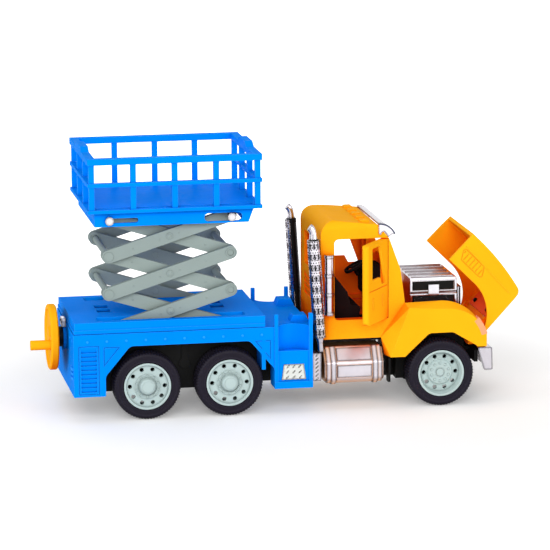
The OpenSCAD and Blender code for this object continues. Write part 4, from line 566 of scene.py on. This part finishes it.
# Slots of the shield: rows, degrees between them, half their width, reach to each side, share of a row
SLOT_ROWS, SLOT_STEP, SLOT_HALF, SLOT_REACH, SLOT_SHARE = 9, 36.0, 8.0, 90.0, (0.15, 0.85)
DOT, DOT_SIDES = [(0.4, -0.05), (0.36, 0.06), (0.2, 0.12), (0.03, 0.13)], 6
DOT_ROWS, DOT_STEP, DOT_REACH = 38, 22.0, 99.0


def in_slot(angle, z):
    """True where the shield has one of its slots."""
    pitch = (SHIELD_HI - SHIELD_LO) / SLOT_ROWS
    share = (z - SHIELD_LO) / pitch % 1.0
    near = abs((angle + SLOT_STEP / 2) % SLOT_STEP - SLOT_STEP / 2)
    return near < SLOT_HALF and SLOT_SHARE[0] < share < SLOT_SHARE[1] and abs(angle) < SLOT_REACH


dots = Shape()
for side in SIDES:
    foot = at(STACK_FOOT[0], side * STACK_FOOT[1], STACK_FOOT[2])
    stack = Matrix.Translation(foot) @ Matrix.Rotation(STACK_LEAN, 4, "Y")
    for row in range(DOT_ROWS):
        z = SHIELD_LO + (SHIELD_HI - SHIELD_LO) * (row + 0.5) / DOT_ROWS
        angle = -DOT_REACH + (DOT_STEP / 2 if row % 2 else 0.0)
        while angle <= DOT_REACH:
            if not in_slot(angle, z):
                a = -side * math.radians(SHIELD_MIDDLE + angle)
                out = Vector((math.cos(a), math.sin(a), 0))
                spot = facing(out * SHIELD_R * MM + Vector((0, 0, z * MM)), out)
                dots.turned(DOT, stack @ spot, DOT_SIDES)
            angle += DOT_STEP
dots.piece("shield_dots", "truck", "black_plastic")

# Engine

# Fins at the front, ribs on the top and a catch on each side stand out of the engine's block
FIN_T, FINS, ENGINE_EDGE, ENGINE_H = 0.7, 3, 1.2, 16.0
ENGINE_LEVELS, SEED = (1, 2), 11
(ex0, ex1), (_, ey1), (_, ez1) = span("engine")
ex1 -= 2 * FINS * FIN_T
ey1 -= FIN_T
ez1 -= FIN_T
BAND_H = ENGINE_H / 2
# Panels of the two bands: margins in widths of the edge, depth, rise and taper
MARGIN_X, MARGIN_Z = 2.4, 2.8
PANEL = (ex1 - ex0 - MARGIN_X * ENGINE_EDGE, BAND_H - MARGIN_Z * ENGINE_EDGE)
PANEL_MID = BAND_H / 2 - ENGINE_EDGE / 4
PANEL_DEPTH = 2 * FIN_T
PANEL_RISE, PANEL_TAPER = PANEL_DEPTH * 0.6, 0.96
# Grains on the lower panel: reach as a share of it, depth, size, and rise as a share of the size
GRAINS, GRAIN_X, GRAIN_Z, GRAIN_DEPTH = 420, 0.47, 0.45, PANEL_DEPTH * 0.45
GRAIN_SIZE, GRAIN_RISE, GRAIN_TAPER = (0.18, 0.42), 0.6, 0.3

panels, grains = Shape(), Shape()
rng = random.Random(SEED)
engine_x = (ex0 + ex1) / 2
for side in SIDES:
    for level in ENGINE_LEVELS:
        z = ez1 - BAND_H * level + PANEL_MID
        spot = on_side(engine_x, side, ey1 - PANEL_DEPTH, z, math.pi if side > 0 else 0.0)
        panels.prism(box(*PANEL), spot, PANEL_RISE, PANEL_TAPER)
    for _ in range(GRAINS):
        x = engine_x + rng.uniform(-GRAIN_X, GRAIN_X) * PANEL[0]
        gz = z + rng.uniform(-GRAIN_Z, GRAIN_Z) * PANEL[1]
        size = rng.uniform(*GRAIN_SIZE)
        spot = on_side(x, side, ey1 - GRAIN_DEPTH, gz, rng.uniform(0, math.pi))
        grains.prism(box(size, size), spot, size * GRAIN_RISE, GRAIN_TAPER)
panels.piece("engine_panels", "truck", "black_plastic")
grains.piece("engine_grains", "truck", "chrome_plastic")

# Roof markers

MARKER = [(160.7, 102.0), (160.9, 103.3), (161.6, 103.95), (165.2, 103.95), (165.9, 103.3), (166.1, 101.9)]
MARKERS, MARKER_STEP, MARKER_HALF = 5, 11.25, 2.95
caps = Shape()
for i in range(MARKERS):
    y = (i - (MARKERS - 1) / 2) * MARKER_STEP
    caps.slab(MARKER, y + MARKER_HALF, y - MARKER_HALF)
caps.piece("roof_marker_caps", "truck", "yellow_plastic")

# Sun visor ends

# Middle and radius of the visor's arc, and its upper and lower edge in degrees
VISOR_MID, VISOR_R, VISOR_HI, VISOR_LO, VISOR_STEPS = (170.65, 92.95), 9.75, 93, 22, 12
VISOR_FOOT = [
    (177.9, 96.4), (175.6, 94.7), (174.9, 96.3), (173.4, 98.2), (172.2, 97.7), (171.3, 96.0), (170.3, 96.8),
]
# The end plates' inner and outer face, the sheet's thickness and the rise of the painted dark reflection on
# its end
VISOR_IN, VISOR_OUT, VISOR_T, RIM_RISE = 28.4, 30.6, 0.9, 0.12


def visor_arc(radius):
    """Points along the visor's arc, from its upper to its lower edge."""
    steps = range(VISOR_STEPS + 1)
    turns = [math.radians(VISOR_HI + (VISOR_LO - VISOR_HI) * i / VISOR_STEPS) for i in steps]
    return [(VISOR_MID[0] + radius * math.cos(a), VISOR_MID[1] + radius * math.sin(a)) for a in turns]


wings, rims = Shape(), Shape()
wing = visor_arc(VISOR_R) + VISOR_FOOT
sheet_end = visor_arc(VISOR_R) + visor_arc(VISOR_R - VISOR_T)[::-1]
wings.slab(wing, -VISOR_IN, -VISOR_OUT)
wings.slab(wing, VISOR_OUT, VISOR_IN)
rims.slab(sheet_end, -VISOR_OUT, -VISOR_OUT - RIM_RISE)
rims.slab(sheet_end, VISOR_OUT + RIM_RISE, VISOR_OUT)
wings.piece("sun_visor_ends", "truck", "chrome_plastic")
# The sheet's end in dark chrome: painted dark reflection
rims.piece("sun_visor_rims", "truck", "chrome_plastic", finish="chrome_dark")

# Hood

HOOD_HINGE, HOOD_OPEN = (226.6, 38.3), math.radians(44.5)
HOOD_HALF, CREASE_FALL = 29.4, math.radians(3.4)
# Bead along the crease: length, middle on the closed hood, half its width, length of its points, rise
BEAD_LEN, BEAD_MID, BEAD_HALF, BEAD_POINT, BEAD_RISE, BEAD_TAPER = 37.0, (205.4, 67.6), 0.35, 1, 0.22, 0.96
BACKING_X, BACKING_Z, BACKING, BACKING_T, BACKING_TAPER = 226.85, 56.5, (42.6, 17.0), 0.5, 0.98
CLIPS = ((-14.0, 51.6), (14.0, 51.6), (-14.0, 61.4), (14.0, 61.4))
CLIP, CLIP_SIDES = dome(1.3, 1.5), 14


def on_hood(x, y, z):
    """A point given on the closed hood, turned to where the open hood holds it."""
    dx, dz = x - HOOD_HINGE[0], z - HOOD_HINGE[1]
    c, s = math.cos(HOOD_OPEN), math.sin(HOOD_OPEN)
    return at(HOOD_HINGE[0] + dx * c + dz * s, y, HOOD_HINGE[1] - dx * s + dz * c)


beads, backing, clips = Shape(), Shape(), Shape()
end = BEAD_LEN / 2
neck = end - BEAD_POINT
bead = [(-end, 0), (-neck, -BEAD_HALF), (neck, -BEAD_HALF), (end, 0), (neck, BEAD_HALF), (-neck, BEAD_HALF)]
for side in SIDES:
    spot = on_hood(BEAD_MID[0], side * HOOD_HALF, BEAD_MID[1])
    along = facing(spot, (0, side, 0), side * (HOOD_OPEN + CREASE_FALL))
    beads.prism(bead, along, BEAD_RISE, BEAD_TAPER)
beads.piece("hood_beads", "hood", "yellow_plastic")
inward = (-math.cos(HOOD_OPEN), 0, math.sin(HOOD_OPEN))
# A backing behind the grille, standing for the yellow plastic there, in orange-red: painted shade
backing.prism(box(*BACKING), facing(on_hood(BACKING_X, 0, BACKING_Z), inward), BACKING_T, BACKING_TAPER)
backing.piece("grille_backing", "hood", "yellow_plastic", finish="orange_in_shade")
# Black clips on the backing: their black is painted shadow
for y, z in CLIPS:
    clips.turned(CLIP, facing(on_hood(BACKING_X - BACKING_T, y, z), inward), CLIP_SIDES)
clips.piece("grille_clips", "hood", "black_plastic")

# Lift

LIFT_ANGLE, ARM = math.radians(17.17), 70.0
PIVOT_X, PIVOT_Z = 20.8, 48.5
RUN, RISE = ARM * math.cos(LIFT_ANGLE), ARM * math.sin(LIFT_ANGLE)
OUTER_FACE, BOSS_FACE, INNER_FACE = 31.0, 31.4, 27.4
PIN_END, PIN_SIDES = dome(1.15, 0.18), 16
DIMPLE, DIMPLE_SIDES = dome(0.42, 0.16), 10
# Places of the dimples as a share of the arm
DIMPLES = (0.2, 0.42, 0.58, 0.8)
LEVELS = (1, 2, 3)

for level in LEVELS:
    outer, inner = Shape(), Shape()
    z0 = PIVOT_Z + (level - 1) * RISE
    for side in SIDES:
        outer.turned(PIN_END, on_side(PIVOT_X + RUN / 2, side, BOSS_FACE, z0 + RISE / 2), PIN_SIDES)
        for u in DIMPLES:
            x = PIVOT_X + RUN * u
            outer.turned(DIMPLE, on_side(x, side, OUTER_FACE, z0 + RISE * u), DIMPLE_SIDES)
            inner.turned(DIMPLE, on_side(x, side, INNER_FACE, z0 + RISE * (1 - u)), DIMPLE_SIDES)
    outer.piece("arm_pin_ends_%d" % level, "lift_%d_outer" % level, "grey_plastic")
    inner.piece("arm_dimples_%d" % level, "lift_%d_inner" % level, "grey_plastic")

# Camera

AZIMUTH, ELEVATION, ROLL = math.radians(10.15), math.radians(11.15), math.radians(-0.34)
FOCAL_PX, FRAME_PX, SENSOR = 3441.0, 550, 36.0
CAMERA_AT, CLIP_END = (-212.9, -1847.0, 439.9), 30


def photo_camera():
    flat = math.cos(ELEVATION)
    back = Vector((-math.sin(AZIMUTH) * flat, -math.cos(AZIMUTH) * flat, math.sin(ELEVATION)))
    level = Vector((math.cos(AZIMUTH), -math.sin(AZIMUTH), 0))
    upright = back.cross(level)
    right = math.cos(ROLL) * level + math.sin(ROLL) * upright
    up = math.cos(ROLL) * upright - math.sin(ROLL) * level
    data = bpy.data.cameras.new("camera")
    data.sensor_fit = "HORIZONTAL"
    data.sensor_width = SENSOR
    data.lens = FOCAL_PX / FRAME_PX * SENSOR
    data.clip_end = CLIP_END
    cam = bpy.data.objects.new("camera", data)
    scene.collection.objects.link(cam)
    turn = Matrix((right, up, back)).transposed().to_4x4()
    cam.matrix_world = Matrix.Translation(at(*CAMERA_AT)) @ turn
    scene.camera = cam


photo_camera()

# Studio

# Strength of the white world as a light and where it is seen
WORLD_SOFT, WORLD_WHITE = 0.3, 1.0
# Half the floor's width in metres, its drop below the ground in millimetres, and its grey
FLOOR_HALF, FLOOR_DROP, FLOOR_GREY = 12.0, 0.1, 0.86
# The floor's own glow near the part and further off, and where it changes, in metres
FLOOR_GLOW, GLOW_REACH = (0.2, 1.0), (0.16, 0.6)
# Place, target, size and power of the lamps
LAMPS = {
    "key": ((-0.55, -1.9, 0.95), (0, 0, 0.06), (1.5, 1.0), 30),
    "fill": ((1.2, -1.5, 0.6), (0, 0, 0.06), (1.2, 1.0), 12),
    "top": ((0.1, 0.1, 1.8), (0, 0, 0.05), (1.6, 1.4), 7),
    "back": ((-0.4, 1.7, 0.9), (0, 0, 0.06), (1.6, 0.9), 8),
    "rear": ((-1.9, -0.5, 0.6), (0, 0, 0.06), (1.2, 0.9), 13),
}


def seen_directly(tree):
    """1 for rays from the camera, mirrors and glass, else 0."""
    path = tree.nodes.new("ShaderNodeLightPath")
    total = path.outputs["Is Camera Ray"]
    for name in ("Is Glossy Ray", "Is Transmission Ray"):
        m = tree.nodes.new("ShaderNodeMath")
        m.operation = "MAXIMUM"
        link(tree, total, m.inputs[0])
        link(tree, path.outputs[name], m.inputs[1])
        total = m.outputs[0]
    return total


def studio_world():
    world = bpy.data.worlds.new("studio")
    scene.world = world
    world.use_nodes = True
    tree = world.node_tree
    tree.nodes.clear()
    out = tree.nodes.new("ShaderNodeOutputWorld")
    mix = tree.nodes.new("ShaderNodeMixShader")
    link(tree, seen_directly(tree), mix.inputs["Fac"])
    for socket, strength in ((1, WORLD_SOFT), (2, WORLD_WHITE)):
        sky = tree.nodes.new("ShaderNodeBackground")
        sky.inputs["Color"].default_value = (1, 1, 1, 1)
        sky.inputs["Strength"].default_value = strength
        link(tree, sky.outputs[0], mix.inputs[socket])
    link(tree, mix.outputs[0], out.inputs["Surface"])


def studio_floor():
    mesh = bpy.data.meshes.new("floor")
    f = FLOOR_HALF
    mesh.from_pydata([(-f, -f, 0), (f, -f, 0), (f, f, 0), (-f, f, 0)], [], [(0, 1, 2, 3)])
    floor = bpy.data.objects.new("floor", mesh)
    floor.location.z = -FLOOR_DROP * MM
    scene.collection.objects.link(floor)
    mat, tree, surface = new_material("floor")
    total = tree.nodes.new("ShaderNodeAddShader")
    matt = tree.nodes.new("ShaderNodeBsdfDiffuse")
    matt.inputs["Color"].default_value = (*grey(FLOOR_GREY), 1)
    glow = tree.nodes.new("ShaderNodeEmission")
    away = tree.nodes.new("ShaderNodeVectorMath")
    away.operation = "LENGTH"
    link(tree, object_coords(tree), away.inputs[0])
    level = tree.nodes.new("ShaderNodeMath")
    level.operation = "MULTIPLY"
    spread = zip(GLOW_REACH, map(grey, FLOOR_GLOW))
    link(tree, ramp(tree, away.outputs["Value"], spread), level.inputs[1])
    link(tree, seen_directly(tree), level.inputs[0])
    link(tree, level.outputs[0], glow.inputs["Strength"])
    link(tree, matt.outputs[0], total.inputs[0])
    link(tree, glow.outputs[0], total.inputs[1])
    link(tree, total.outputs[0], surface)
    mesh.materials.append(mat)


def lamp(name, place, target, size, power):
    data = bpy.data.lights.new(name, "AREA")
    data.shape = "RECTANGLE"
    data.size, data.size_y = size
    data.energy = power
    obj = bpy.data.objects.new(name, data)
    scene.collection.objects.link(obj)
    obj.location = place
    obj.rotation_euler = (Vector(target) - Vector(place)).to_track_quat("-Z", "Y").to_euler()


studio_world()
studio_floor()
for lamp_name, settings in LAMPS.items():
    lamp(lamp_name, *settings)
scene.view_settings.view_transform = "Standard"
